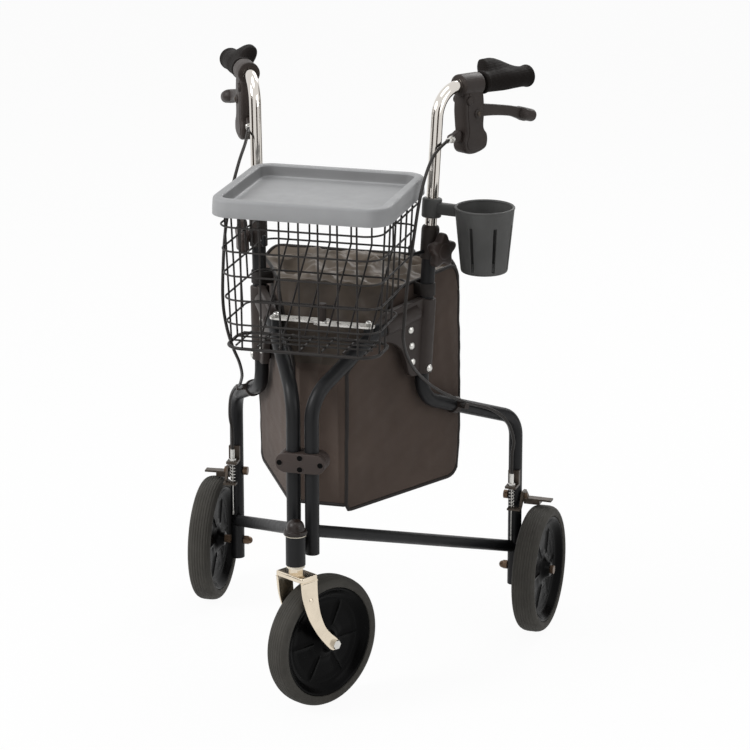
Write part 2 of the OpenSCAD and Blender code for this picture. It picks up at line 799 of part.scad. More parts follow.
module block_half(side) {
  middle() translate([0, 0, block_z]) difference() {
    translate([0, side > 0 ? block_depth : -0.3, 0]) rotate([90, 0, 0])
      linear_extrude(block_depth - 0.3) block_outline();
    translate([-post_x, 0, 0]) cylinder(h = 2 * block_h, d = tube_d + 2 * weld_gap, center = true);
    translate([post_x, 0, 0]) cylinder(h = 2 * block_h, d = tube_d + 4 * run_gap, center = true);
    for (p = screw_spots) translate([p[0], 0, p[1]]) rotate([90, 0, 0])
      cylinder(h = 4 * block_depth, d = 4 + 2 * run_gap, center = true);
  }
}

module hinge_block_front() {
  color("#1e1b19") block_half(-1);
}

module hinge_block_rear() {
  color("#1e1b19") block_half(1);
}

module hinge_screws() {
  color("#2b2826") middle() translate([0, 0, block_z]) for (p = screw_spots)
    translate([p[0], 0, p[1]]) rotate([90, 0, 0]) {
      cylinder(h = 2 * block_depth + 3, d = 4, center = true);
      translate([0, 0, block_depth + 0.1]) cylinder(h = 2.2, d = 8);
      translate([0, 0, -block_depth - 3.1]) cylinder(h = 3, d = 8, $fn = 6);
    }
}

// Brace: two flat links that meet in the middle

brace_x = post_x + brace_u * sin(splay);
brace_y = brace_u * cos(splay);
right_link_z = brace_z;
left_link_z = brace_z + brace_thick + free_gap;

module link(span, overrun) {
  difference() {
    union() {
      translate([0, -brace_w / 2, 0]) cube([span + overrun, brace_w, brace_thick]);
      cylinder(h = brace_thick, d = brace_w);
      translate([span + overrun, 0, 0]) cylinder(h = brace_thick, d = brace_w);
    }
    translate([0, 0, -1]) cylinder(h = 10, d = 6 + 2 * run_gap);
  }
}

module brace_left() {
  color("#cfcfcc") middle() translate([-brace_x, brace_y, left_link_z]) difference() {
    link(brace_x, 4);
    translate([brace_x, 0, -1]) cylinder(h = 10, d = 5 + 2 * run_gap);
  }
}

module brace_right() {
  color("#cfcfcc") middle() translate([brace_x, brace_y, right_link_z]) mirror([1, 0, 0]) link(brace_x, 4);
}

// Upright pull on the middle of the brace
module brace_pull() {
  color("#131212") middle() translate([0, brace_y, left_link_z]) {
    cylinder(h = 4, d = 5);
    translate([0, 0, brace_thick + 0.05]) cylinder(h = 26, d = 13);
  }
}

// Wire basket

function level_z(i) = floor_z + (rim_z - floor_z) * i / (levels - 1);
function rise(z) = (z - floor_z) / (rim_z - floor_z);
function half_w(z) = basket_w / 2 - 10 + 10 * rise(z);
function front_y(z) = -14 - 6 * rise(z);
kink_z = level_z(kink_level);
function rear_y(z) = z >= kink_z ? back_y : floor_back_y + (back_y - floor_back_y) * (z - floor_z) / (kink_z - floor_z);
function level_d(i) = i == 0 || i == levels - 1 ? rim_d : wire_d;

// A quarter turn of wire round a corner, in plan, with a bead where it meets a straight wire
module wire_corner(x, y, z, r, d, start, bead) {
  trim = asin(wire_trim / r);
  translate([x, y, z]) {
    rotate([0, 0, start + trim]) rotate_extrude(angle = 90 - 2 * trim, $fn = wire_fn)
      translate([r, 0]) circle(d = d, $fn = wire_fn);
    rotate([0, 0, bead]) translate([r, 0, 0]) sphere(d = d * 1.05, $fn = wire_fn);
  }
}

// A straight wire of the basket
module wire(a, b, d) {
  bar(a, b, d, $fn = wire_fn);
}

// Front wall with its two corners
module basket_front() {
  uprights = [-3 : 3];
  step = (basket_w - 76) / 6;
  color("#141414") middle() {
    for (i = [0 : levels - 1]) {
      z = level_z(i);
      d = level_d(i);
      x = half_w(z) - front_corner_r;
      y = front_y(z);
      wire([-x + wire_trim, y, z], [x - wire_trim, y, z], d);
      wire_corner(x, y + front_corner_r, z, front_corner_r, d, -90, -90);
      wire_corner(-x, y + front_corner_r, z, front_corner_r, d, 180, -90);
    }
    for (k = uprights)
      wire([k * step, front_y(floor_z) + wire_d * 0.8, floor_z], [k * step, front_y(rim_z) + wire_d * 0.8, rim_z], wire_d);
  }
}

// Both side walls
module basket_sides() {
  posts_y = [16, 46, 78, 110, 142, 174];
  color("#141414") middle() for (s = [-1, 1]) {
    for (i = [0 : levels - 1]) {
      z = level_z(i);
      wire([s * half_w(z), front_y(z) + front_corner_r + basket_gap, z],
        [s * half_w(z), rear_y(z) - back_corner_r - basket_gap, z], level_d(i));
    }
    for (y = posts_y) {
      foot = y < floor_back_y - back_corner_r ? floor_z : wall_foot_z(y);
      inset = wire_d * 0.8;
      wire([s * (half_w(foot) - inset), y, foot], [s * (half_w(rim_z) - inset), y, rim_z], wire_d);
    }
  }
}

// Lowest level that still reaches back to a given y on the side wall
function wall_foot_z(y) = level_z(min([for (i = [0 : levels - 1]) if (rear_y(level_z(i)) - back_corner_r > y + 1) i]));

// Back wall, upright above and slanting below
module basket_back() {
  columns = [-84, -50, -17, 17, 50, 84];
  inset = wire_d * 0.8;
  slant = atan2(kink_z - floor_z, back_y - floor_back_y);
  color("#141414") middle() {
    for (i = [0 : levels - 1]) {
      z = level_z(i);
      d = level_d(i);
      x = half_w(z) - back_corner_r;
      y = rear_y(z);
      wire([-x + wire_trim, y, z], [x - wire_trim, y, z], d);
      wire_corner(x, y - back_corner_r, z, back_corner_r, d, 0, 90);
      wire_corner(-x, y - back_corner_r, z, back_corner_r, d, 90, 90);
    }
    for (x = columns) {
      wire([x, back_y - inset, kink_z], [x, back_y - inset, rim_z], wire_d);
      wire([x, floor_back_y - inset * sin(slant), floor_z + inset * cos(slant)],
        [x, back_y - inset * sin(slant), kink_z + inset * cos(slant)], wire_d);
    }
  }
}

// Floor grille laid on the bottom hoop
module basket_floor() {
  z = floor_z + rim_d / 2 + wire_d / 2 + basket_gap;
  rows = [8, 30, 52];
  column_step = (half_w(floor_z) - 18) / 3;
  color("#141414") middle() {
    for (y = rows) wire([-half_w(floor_z) + 10, y, z + wire_d * 0.8], [half_w(floor_z) - 10, y, z + wire_d * 0.8], wire_d);
    for (k = [-3 : 3])
      wire([k * column_step, front_y(floor_z) + 4, z], [k * column_step, floor_back_y - 7, z], wire_d);
  }
}

// Tray that caps the basket

module tray_outline(inset) {
  w = basket_w + 2 * (rim_d / 2 + 5 + tray_wall - inset);
  front = front_y(rim_z) - rim_d / 2 - 3 - tray_wall + inset;
  back = back_y + rim_d / 2 + 3 + tray_wall - inset;
  translate([0, (front + back) / 2]) rounded([w, back - front], front_corner_r + 6 - inset);
}

module tray() {
  rim_w = 19.2;
  recess = 18;
  color("#95979a") middle() difference() {
    translate([0, 0, tray_top_z - tray_h]) linear_extrude(tray_h) tray_outline(0);
    translate([0, 0, tray_top_z - recess]) linear_extrude(recess + 1) tray_outline(rim_w);
    translate([0, 0, tray_top_z - tray_h - 1]) linear_extrude(tray_h + 1 - tray_wall) difference() {
      tray_outline(tray_wall);
      tray_outline(rim_w - tray_wall);
    }
  }
}

// Bag: an open sack between the side frames

bag_floor_z = 272 + lift;
bag_skin = 2.5;
bag_out = -19;

module bag_plan(skin) {
  front_u = 92 + skin;
  rear_u = 338 - skin;
  inside = bag_out - skin;
  function at(u) = [post_x + inside * cos(splay) + u * sin(splay), u * cos(splay) - inside * sin(splay)];
  front = at(front_u);
  rear = at(rear_u);
  polygon([[-front[0], front[1]], front, rear, [rear[0] - 26, rear[1] + 18], [-rear[0] + 26, rear[1] + 18], [-rear[0], rear[1]]]);
}

module bag_side(skin, extra) {
  top = bag_floor_z + bag_h;
  rotate([90, 0, 90]) linear_extrude(600, center = true) polygon([
    [70 + skin, bag_floor_z + skin], [70 + skin, 495 + lift], [136 + skin, 536 + lift], [196 + skin, top - 20 + extra],
    [330 - skin, top + extra], [330 - skin, bag_floor_z + skin]
  ]);
}

module bag_block(skin, extra) {
  intersection() {
    translate([0, 0, bag_floor_z - 10]) linear_extrude(bag_h + 100) bag_plan(skin);
    bag_side(skin, extra);
  }
}

module bag() {
  color("#2a2420") {
    middle() difference() {
      bag_block(0, 0);
      bag_block(bag_skin, 30);
    }
    right_side() bag_strap();
    left_side() bag_strap();
  }
}

// Webbing that ties the bag's top edge to the upright
module bag_strap() {
  strap_w = 22;
  strap_z = bracket_top_z + 4;
  reach = -tube_d / 2 - 0.3;
  translate([bag_out - bag_skin / 2, upright_u(strap_z) - strap_w / 2, strap_z])
    cube([reach - bag_out + bag_skin / 2, strap_w, 20]);
}

// Cup holder with its clamp on the right handle tube

cup_out = 86;
cup_back = 27;
cup_wall = 3;
clamp_z = top_z + 18;
cup_top_z = 745 + lift;

module cup_holder() {
  foot_d = cup_d * 0.78;
  slot_w = 12;
  tube_u = upright_u(clamp_z);
  color("#343434") difference() {
    union() {
      translate([cup_out, tube_u + cup_back, cup_top_z - cup_h]) cup_shell(foot_d, slot_w);
      on_upright(clamp_z) cylinder(h = 30, d = handle_d + 12);
      translate([0, tube_u, clamp_z + 6]) rotate([0, 0, atan2(cup_back, cup_out)])
        translate([0, -8, 0]) cube([norm([cup_out, cup_back]) - cup_d / 2 + 3, 16, 18]);
      on_upright(clamp_z + 15) rotate([0, 0, 150]) rotate([0, 90, 0]) cylinder(h = 26, d = 14);
    }
    on_upright(clamp_z - 30) cylinder(h = 120, d = handle_d + 2 * weld_gap);
  }
}

// Tapered cup with long slots
module cup_shell(foot_d, slot_w) {
  difference() {
    cylinder(h = cup_h, d1 = foot_d, d2 = cup_d);
    translate([0, 0, cup_wall]) cylinder(h = cup_h, d1 = foot_d - 2 * cup_wall, d2 = cup_d - 2 * cup_wall);
    for (i = [0 : 5]) rotate([0, 0, 60 * i + 30]) translate([cup_d / 4, -slot_w / 2, 14]) cube([cup_d, slot_w, cup_h - 32]);
  }
}

// Tops of the bosses under the brace's two links
left_boss_z = left_link_z - free_gap;
right_boss_z = right_link_z - free_gap;

left_side() main_tube();  // left_main_tube
left_side() front_post(left_boss_z);  // left_front_post
left_side() lower_bar();  // left_lower_bar
left_side() side_bracket();  // left_side_bracket
left_side() rivet_set(left_boss_z + free_gap);  // left_rivets
left_side() tube_collar();  // left_tube_collar
left_side() star_knob();  // left_star_knob
left_side() handle_tube();  // left_handle_tube
left_side() hand_grip();  // left_hand_grip
left_side() brake_housing();  // left_brake_housing
left_side() brake_lever();  // left_brake_lever
left_side() brake_cable();  // left_brake_cable
left_side() cable_clip();  // left_cable_clip
left_side() brake_bracket();  // left_brake_bracket
left_side() cable_adjuster();  // left_cable_adjuster
left_side() brake_spring();  // left_brake_spring
left_side() brake_arm();  // left_brake_arm
left_side() rear_tyre();  // left_rear_tyre
left_side() rear_hub();  // left_rear_hub
left_side() rear_axle();  // left_rear_axle
right_side() main_tube();  // right_main_tube
right_side() front_post(right_boss_z);  // right_front_post
right_side() lower_bar();  // right_lower_bar
right_side() side_bracket();  // right_side_bracket
right_side() rivet_set(right_boss_z + free_gap);  // right_rivets
right_side() tube_collar();  // right_tube_collar
right_side() star_knob();  // right_star_knob
right_side() handle_tube();  // right_handle_tube
right_side() hand_grip();  // right_hand_grip
right_side() brake_housing();  // right_brake_housing
right_side() brake_lever();  // right_brake_lever
right_side() brake_cable();  // right_brake_cable
right_side() cable_clip();  // right_cable_clip
right_side() brake_bracket();  // right_brake_bracket
right_side() cable_adjuster();  // right_cable_adjuster
right_side() brake_spring();  // right_brake_spring
right_side() brake_arm();  // right_brake_arm
right_side() rear_tyre();  // right_rear_tyre
right_side() rear_hub();  // right_rear_hub
right_side() rear_axle();  // right_rear_axle
head_tube();
head_cap();
head_bearings();
caster_fork();
front_hub();
front_tyre();
front_axle();
hinge_block_front();
hinge_block_rear();
hinge_screws();
brace_left();
brace_right();
brace_pull();
basket_front();
basket_sides();
basket_back();
basket_floor();
tray();
bag();
right_side() cup_holder();
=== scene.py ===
"""Dress the three wheel rollator: finishes, soft pieces and moulded forms over the CAD frame."""

import logging
import math
from dataclasses import dataclass, field
from enum import Enum
from typing import Callable

import bmesh
import bpy
import numpy as np
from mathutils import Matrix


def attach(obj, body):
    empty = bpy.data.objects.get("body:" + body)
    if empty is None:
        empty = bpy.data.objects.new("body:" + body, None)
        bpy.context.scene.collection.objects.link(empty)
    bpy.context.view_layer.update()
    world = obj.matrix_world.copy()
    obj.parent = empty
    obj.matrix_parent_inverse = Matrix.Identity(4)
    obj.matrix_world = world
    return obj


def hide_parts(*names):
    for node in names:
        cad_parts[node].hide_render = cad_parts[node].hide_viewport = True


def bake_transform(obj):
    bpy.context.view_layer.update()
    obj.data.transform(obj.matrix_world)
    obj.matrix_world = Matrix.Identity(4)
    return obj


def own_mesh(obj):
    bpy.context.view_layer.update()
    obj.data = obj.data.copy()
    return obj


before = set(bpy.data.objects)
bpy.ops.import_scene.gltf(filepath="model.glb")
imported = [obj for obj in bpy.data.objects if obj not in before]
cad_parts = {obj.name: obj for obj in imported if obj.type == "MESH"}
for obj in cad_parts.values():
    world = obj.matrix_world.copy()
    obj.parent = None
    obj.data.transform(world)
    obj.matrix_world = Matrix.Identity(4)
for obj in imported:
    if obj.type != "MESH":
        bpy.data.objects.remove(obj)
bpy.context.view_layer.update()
LOG = logging.getLogger("rollator")
MM = 0.001
UP = np.array([0.0, 0.0, 1.0])

# Settings that all finishes share
NOISE_LOW = 0.3
NOISE_HIGH = 0.7
LEAST_ROUGHNESS = 0.02
SHEEN_ROUGHNESS = 0.45
BUMP_STRENGTH = 0.7
BRUSH_STRETCH = 0.04
WAVE_PER_THREAD = 0.3183
THREAD_WOBBLE = 0.6

# One number or many, and a function that lays an outline's coordinates and heights into the row frame
Amount = np.ndarray | float
Place = Callable[[np.ndarray, np.ndarray, np.ndarray], np.ndarray]


class Pattern(Enum):
    """Small relief that a finish carries."""

    SMOOTH = "smooth"
    PEBBLE = "pebble"
    WEAVE = "weave"
    BRUSHED = "brushed"
    DIAMOND = "diamond"


class Hand(Enum):
    """Which side of the rollator, as the sign of X."""

    LEFT = -1
    RIGHT = 1

    @property
    def word(self) -> str:
        """The side's name as the CAD nodes spell it."""
        return "left" if self is Hand.LEFT else "right"


@dataclass(frozen=True)
class Finish:
    """A procedural finish: colour with mottling, roughness with variation, and a small relief.

    Lengths of the patterns are in metres and colours are linear.
    """

    name: str
    colour: tuple[float, float, float]
    roughness: float
    metallic: float = 0.0
    mottle: float = 0.12
    mottle_size: float = 0.05
    rough_spread: float = 0.06
    pattern: Pattern = Pattern.SMOOTH
    pattern_size: float = 0.002
    relief: float = 0.00008
    sheen: float = 0.0
    specular: float = 0.5

    def material(self) -> bpy.types.Material:
        """Return the material, made once.

        Returns:
            The node material of this finish.
        """
        label = f"{self.name}_finish"
        found = bpy.data.materials.get(label)
        if found:
            return found
        made = bpy.data.materials.new(label)
        made.use_nodes = True
        nodes = made.node_tree.nodes
        links = made.node_tree.links
        shader = nodes["Principled BSDF"]
        shader.inputs["Metallic"].default_value = self.metallic
        shader.inputs["Sheen Weight"].default_value = self.sheen
        shader.inputs["Sheen Roughness"].default_value = SHEEN_ROUGHNESS
        shader.inputs["Specular IOR Level"].default_value = self.specular
        place = nodes.new("ShaderNodeTexCoord")
        broad = self._noise(nodes, links, place, scale=1.0 / self.mottle_size, detail=4.0)
        ramp = nodes.new("ShaderNodeValToRGB")
        dark = [channel * (1.0 - self.mottle) for channel in self.colour]
        light = [min(channel * (1.0 + self.mottle), 1.0) for channel in self.colour]
        ramp.color_ramp.elements[0].position = NOISE_LOW
        ramp.color_ramp.elements[0].color = (*dark, 1.0)
        ramp.color_ramp.elements[1].position = NOISE_HIGH
        ramp.color_ramp.elements[1].color = (*light, 1.0)
        links.new(broad, ramp.inputs["Fac"])
        links.new(ramp.outputs["Color"], shader.inputs["Base Color"])
        fine = self._noise(nodes, links, place, scale=3.0 / self.mottle_size, detail=6.0)
        spread = nodes.new("ShaderNodeMapRange")
        spread.inputs["From Min"].default_value = NOISE_LOW
        spread.inputs["From Max"].default_value = NOISE_HIGH
        spread.inputs["To Min"].default_value = max(self.roughness - self.rough_spread, LEAST_ROUGHNESS)
        spread.inputs["To Max"].default_value = min(self.roughness + self.rough_spread, 1.0)
        links.new(fine, spread.inputs["Value"])
        links.new(spread.outputs["Result"], shader.inputs["Roughness"])
        bump = nodes.new("ShaderNodeBump")
        bump.inputs["Strength"].default_value = BUMP_STRENGTH
        bump.inputs["Distance"].default_value = self.relief
        links.new(self._relief(nodes, links, place), bump.inputs["Height"])
        links.new(bump.outputs["Normal"], shader.inputs["Normal"])
        return made

    @staticmethod
    def _noise(nodes: bpy.types.Nodes, links: bpy.types.NodeLinks, place: bpy.types.Node, scale: float,
               detail: float) -> bpy.types.NodeSocket:
        """Add a noise on Object coordinates.

        Args:
            nodes: The material's nodes.
            links: The material's links.
            place: The texture coordinate node.
            scale: Noise cells per metre.
            detail: Octaves of the noise.

        Returns:
            The noise's value socket.
        """
        noise = nodes.new("ShaderNodeTexNoise")
        noise.inputs["Scale"].default_value = scale
        noise.inputs["Detail"].default_value = detail
        links.new(place.outputs["Object"], noise.inputs["Vector"])
        return noise.outputs["Fac"]

    def _relief(self, nodes: bpy.types.Nodes, links: bpy.types.NodeLinks,
                place: bpy.types.Node) -> bpy.types.NodeSocket:
        """Add the height field of the pattern.

        Args:
            nodes: The material's nodes.
            links: The material's links.
            place: The texture coordinate node.

        Returns:
            The height socket.
        """
        scale = 1.0 / self.pattern_size
        if self.pattern is Pattern.PEBBLE:
            cells = nodes.new("ShaderNodeTexVoronoi")
            cells.feature = "SMOOTH_F1"
            cells.inputs["Scale"].default_value = scale
            links.new(place.outputs["Object"], cells.inputs["Vector"])
            return cells.outputs["Distance"]
        if self.pattern in (Pattern.WEAVE, Pattern.DIAMOND):
            turn = 0.0 if self.pattern is Pattern.WEAVE else math.radians(45)
            first = self._wave(nodes, links, place, scale, turn, "DIAGONAL")
            second = self._wave(nodes, links, place, scale, turn, "Z")
            join = nodes.new("ShaderNodeMath")
            join.operation = "MULTIPLY" if self.pattern is Pattern.DIAMOND else "ADD"
            links.new(first, join.inputs[0])
            links.new(second, join.inputs[1])
            return join.outputs["Value"]
        if self.pattern is Pattern.BRUSHED:
            stretch = nodes.new("ShaderNodeMapping")
            stretch.inputs["Scale"].default_value = (scale, scale, scale * BRUSH_STRETCH)
            links.new(place.outputs["Object"], stretch.inputs["Vector"])
            noise = nodes.new("ShaderNodeTexNoise")
            noise.inputs["Scale"].default_value = 1.0
            links.new(stretch.outputs["Vector"], noise.inputs["Vector"])
            return noise.outputs["Fac"]
        return self._noise(nodes, links, place, scale=scale, detail=3.0)

    @staticmethod
    def _wave(nodes: bpy.types.Nodes, links: bpy.types.NodeLinks, place: bpy.types.Node, scale: float,
              turn: float, direction: str) -> bpy.types.NodeSocket:
        """Add bands of threads on turned Object coordinates.

        Args:
            nodes: The material's nodes.
            links: The material's links.
            place: The texture coordinate node.
            scale: Threads per metre.
            turn: Rotation of the pattern about the vertical.
            direction: The wave texture's band direction.

        Returns:
            The wave's value socket.
        """
        mapping = nodes.new("ShaderNodeMapping")
        mapping.inputs["Rotation"].default_value = (0.0, 0.0, turn)
        links.new(place.outputs["Object"], mapping.inputs["Vector"])
        wave = nodes.new("ShaderNodeTexWave")
        wave.bands_direction = direction
        wave.inputs["Scale"].default_value = scale * WAVE_PER_THREAD
        wave.inputs["Distortion"].default_value = THREAD_WOBBLE
        wave.inputs["Detail"].default_value = 1.0
        links.new(mapping.outputs["Vector"], wave.inputs["Vector"])
        return wave.outputs["Fac"]


@dataclass(frozen=True)
class Palette:
    """Every finish of the rollator."""

    paint: Finish = Finish("frame_paint", (0.0105, 0.0107, 0.0116), 0.42, mottle=0.12, pattern_size=0.0016,
                           relief=0.00003, specular=0.2)
    chrome: Finish = Finish("bright_chrome", (0.68, 0.645, 0.6), 0.1, metallic=1.0, mottle=0.03,
                            rough_spread=0.03, pattern_size=0.02, relief=0.00004)
    pressing: Finish = Finish("fork_plate", (0.74, 0.65, 0.52), 0.2, metallic=1.0, mottle=0.06,
                              mottle_size=0.02, pattern_size=0.004, relief=0.00004)
    dome: Finish = Finish("dome_plastic", (0.014, 0.0085, 0.0068), 0.36, specular=0.35, pattern_size=0.003,
                          relief=0.00002)
    strap: Finish = Finish("strap_steel", (0.8, 0.78, 0.74), 0.3, metallic=0.93, mottle=0.06,
                           mottle_size=0.02, pattern_size=0.004, relief=0.00003)
    steel: Finish = Finish("bright_steel", (0.62, 0.61, 0.58), 0.3, metallic=1.0, mottle=0.1,
                           pattern=Pattern.BRUSHED, pattern_size=0.0006, relief=0.00003)
    dark_steel: Finish = Finish("dark_steel", (0.06, 0.046, 0.035), 0.42, metallic=0.55, mottle=0.3,
                                mottle_size=0.012, relief=0.00005)
    bronze: Finish = Finish("bronze_zinc", (0.12, 0.078, 0.05), 0.4, metallic=0.75, mottle=0.35,
                            mottle_size=0.008, relief=0.00006)
    moulded: Finish = Finish("moulded_black", (0.029, 0.0215, 0.0185), 0.52, mottle=0.12, specular=0.3,
                             pattern=Pattern.PEBBLE, pattern_size=0.0012, relief=0.00005)
    block: Finish = Finish("hinge_plastic", (0.043, 0.031, 0.027), 0.48, mottle=0.14, specular=0.3,
                           pattern=Pattern.PEBBLE, pattern_size=0.0011, relief=0.00004)
    hub: Finish = Finish("hub_plastic", (0.0018, 0.0018, 0.0019), 0.3, mottle=0.2, pattern_size=0.003,
                         relief=0.00004, specular=0.045)
    tyre: Finish = Finish("tyre_rubber", (0.051, 0.048, 0.042), 0.78, mottle=0.14, mottle_size=0.03,
                          pattern=Pattern.PEBBLE, pattern_size=0.0014, relief=0.00006, specular=0.25)
    grip: Finish = Finish("grip_rubber", (0.0075, 0.0058, 0.005), 0.7, pattern=Pattern.DIAMOND,
                          pattern_size=0.0034, relief=0.0004, specular=0.1)
    cap: Finish = Finish("grip_end_rubber", (0.075, 0.066, 0.06), 0.6, pattern_size=0.002)
    sleeve: Finish = Finish("cable_sleeve", (0.013, 0.0105, 0.009), 0.42, pattern_size=0.002, relief=0.00002,
                            specular=0.3)
    bush: Finish = Finish("pale_bush", (0.72, 0.66, 0.55), 0.5)
    wire: Finish = Finish("basket_wire", (0.012, 0.0096, 0.0084), 0.45, pattern_size=0.0015, relief=0.00003,
                          specular=0.32)
    tray: Finish = Finish("tray_plastic", (0.3, 0.303, 0.308), 0.52, mottle=0.05, pattern=Pattern.PEBBLE,
                          pattern_size=0.0011, relief=0.00004, specular=0.4)
    # Painted shade: a darker copy of the tray plastic for the recess' walls, standing in for the shade that
    # falls there.
    tray_wall: Finish = Finish("tray_wall_plastic", (0.19, 0.191, 0.193), 0.55, mottle=0.05,
                               pattern=Pattern.PEBBLE, pattern_size=0.0011, relief=0.00004, specular=0.3)
    cup: Finish = Finish("cup_plastic", (0.072, 0.072, 0.07), 0.5, mottle=0.1, pattern=Pattern.PEBBLE,
                         pattern_size=0.001, relief=0.00004, specular=0.3)
    cloth: Finish = Finish("bag_cloth", (0.07, 0.05, 0.04), 0.8, mottle=0.14, mottle_size=0.11,
                           pattern=Pattern.WEAVE, pattern_size=0.0011, relief=0.00018, sheen=0.12,
                           specular=0.22)
    # Painted light: a lighter copy of the bag cloth for the gathered top, standing in for the light that
    # falls on it from above.
    hood: Finish = Finish("bag_hood_painted_light", (0.12, 0.094, 0.07), 0.55, mottle=0.25, mottle_size=0.05,
                          pattern=Pattern.WEAVE, pattern_size=0.0009, relief=0.00012, sheen=0.12,
                          specular=0.35)
    # Painted shade: a darker copy of the bag cloth for the slack front above the shoulder, standing in for
    # the shade it lies in.
    shaded_slack: Finish = Finish("bag_slack_painted_shade", (0.058, 0.044, 0.033), 0.6, mottle=0.25, mottle_size=0.05,
                           pattern=Pattern.WEAVE, pattern_size=0.0009, relief=0.00012, specular=0.3)
    piping: Finish = Finish("bag_piping", (0.014, 0.011, 0.0098), 0.6, pattern=Pattern.WEAVE,
                            pattern_size=0.0008, relief=0.0001, specular=0.3)


FINISH = Palette()


def unit(vectors: np.ndarray) -> np.ndarray:
    """Scale vectors on the last axis to length one."""
    return vectors / np.maximum(np.linalg.norm(vectors, axis=-1, keepdims=True), 1e-12)


def turned(x: Amount, y: Amount, degrees: float) -> tuple[Amount, Amount]:
    """Turn plane coordinates about zero: cosine and sine of the angle mix the two.

    Args:
        x: First coordinates.
        y: Second coordinates.
        degrees: Angle from the first axis to the second.

    Returns:
        The turned coordinates.
    """
    turn = math.radians(degrees)
    return x * math.cos(turn) - y * math.sin(turn), x * math.sin(turn) + y * math.cos(turn)


def full_turn(count: int) -> np.ndarray:
    """Evenly spaced angles round a circle."""
    return np.linspace(0, 2 * np.pi, count, endpoint=False)


def polar_outline(angle: np.ndarray, radius: Amount) -> np.ndarray:
    """Points at the given angles and distances from the middle."""
    return np.stack([radius * np.cos(angle), radius * np.sin(angle)], axis=1)


def smooth_path(points: np.ndarray, steps: int, closed: bool = False) -> np.ndarray:
    """Run a Catmull-Rom curve through points.

    Each span is the cubic that passes its two ends with tangents along the chord of their neighbours.

    Args:
        points: Corner points, one row each, in two or three dimensions.
        steps: Samples on each span.
        closed: Whether the curve returns to its start.

    Returns:
        The sampled curve.
    """
    points = np.asarray(points, float)
    if closed:
        before, start = np.roll(points, 1, 0), points
        stop, after = np.roll(points, -1, 0), np.roll(points, -2, 0)
    else:
        wide = np.vstack([points[:1], points, points[-1:]])
        before, start, stop, after = wide[:-3], wide[1:-2], wide[2:-1], wide[3:]
    t = (np.arange(steps) / steps)[None, :, None]
    before, start, stop, after = (part[:, None, :] for part in (before, start, stop, after))
    curve = 0.5 * (2 * start + (stop - before) * t + (2 * before - 5 * start + 4 * stop - after) * t**2
                   + (3 * start - before - 3 * stop + after) * t**3)
    curve = curve.reshape(-1, points.shape[1])
    return curve if closed else np.vstack([curve, points[-1:]])


def carried_frame(path: np.ndarray) -> tuple[np.ndarray, np.ndarray]:
    """Carry two side directions along a path without twist.

    At each station the last side direction is laid flat on the plane across the path.

    Args:
        path: Points of the path.

    Returns:
        The two unit directions across the path at each point.
    """
    along = unit(np.gradient(path, axis=0))
    first = np.cross(along[0], np.eye(3)[np.argmin(np.abs(along[0]))])
    sides = [unit(first)]
    for direction in along[1:]:
        sides.append(unit(sides[-1] - direction * np.dot(sides[-1], direction)))
    across = np.array(sides)
    return across, np.cross(along, across)


def tube_grid(path: np.ndarray, radius: np.ndarray | float, sides: int = 16) -> np.ndarray:
    """Carry a circle along a path: each ring is the point plus the radius times cosine and sine.

    Args:
        path: Points of the path.
        radius: One radius, or one for each point.
        sides: Points of each ring.

    Returns:
        A grid of points, one ring a row.
    """
    across, over = carried_frame(path)
    angle = full_turn(sides)[None, :, None]
    size = np.broadcast_to(np.asarray(radius, float).reshape(-1, 1, 1), (len(path), 1, 1))
    return path[:, None] + size * (np.cos(angle) * across[:, None] + np.sin(angle) * over[:, None])


def revolve_grid(profile: np.ndarray, centre: np.ndarray, axis: np.ndarray, sides: int = 64) -> np.ndarray:
    """Turn a profile of radius and height about an axis.

    Args:
        profile: Rows of radius and height along the axis, in millimetres.
        centre: The axis' zero point.
        axis: The axis' direction.
        sides: Points of each ring.

    Returns:
        A grid of points, one ring a row.
    """
    axis = unit(np.asarray(axis, float))
    across = unit(np.cross(axis, np.eye(3)[np.argmin(np.abs(axis))]))
    over = np.cross(axis, across)
    angle = full_turn(sides)[None, :, None]
    radius, height = (np.asarray(profile, float) * MM).T[:, :, None, None]
    return np.asarray(centre) + height * axis + radius * (np.cos(angle) * across + np.sin(angle) * over)


def inset_outline(outline: np.ndarray, depth: float) -> np.ndarray:
    """Move a closed outline inward along its normals.

    Args:
        outline: Points of the outline, in a plane.
        depth: Distance to move, positive inward.

    Returns:
        The moved outline.
    """
    along = unit(np.roll(outline, -1, 0) - np.roll(outline, 1, 0))
    x, y = outline.T
    area = np.sum(x * np.roll(y, -1) - np.roll(x, -1) * y)
    normal = np.stack([-along[:, 1], along[:, 0]], axis=1) * np.sign(area)
    return outline + depth * normal


def sleeve_profile(length: float, radius: float, bore: float, edge: float) -> np.ndarray:
    """Closed section of a moulded sleeve whose two outer edges are quarter circles.

    Args:
        length: Length along the axis.
        radius: Outer radius.
        bore: Inner radius.
        edge: Radius of the outer edges.

    Returns:
        Rows of radius and height.
    """
    turn = np.linspace(0, np.pi / 2, 5)
    low = np.stack([radius - edge + edge * np.sin(turn), edge - edge * np.cos(turn)], 1)
    high = np.stack([radius - edge + edge * np.cos(turn), length - edge + edge * np.sin(turn)], 1)
    return np.vstack([[(bore, 0.0)], low, high, [(bore, length)]])


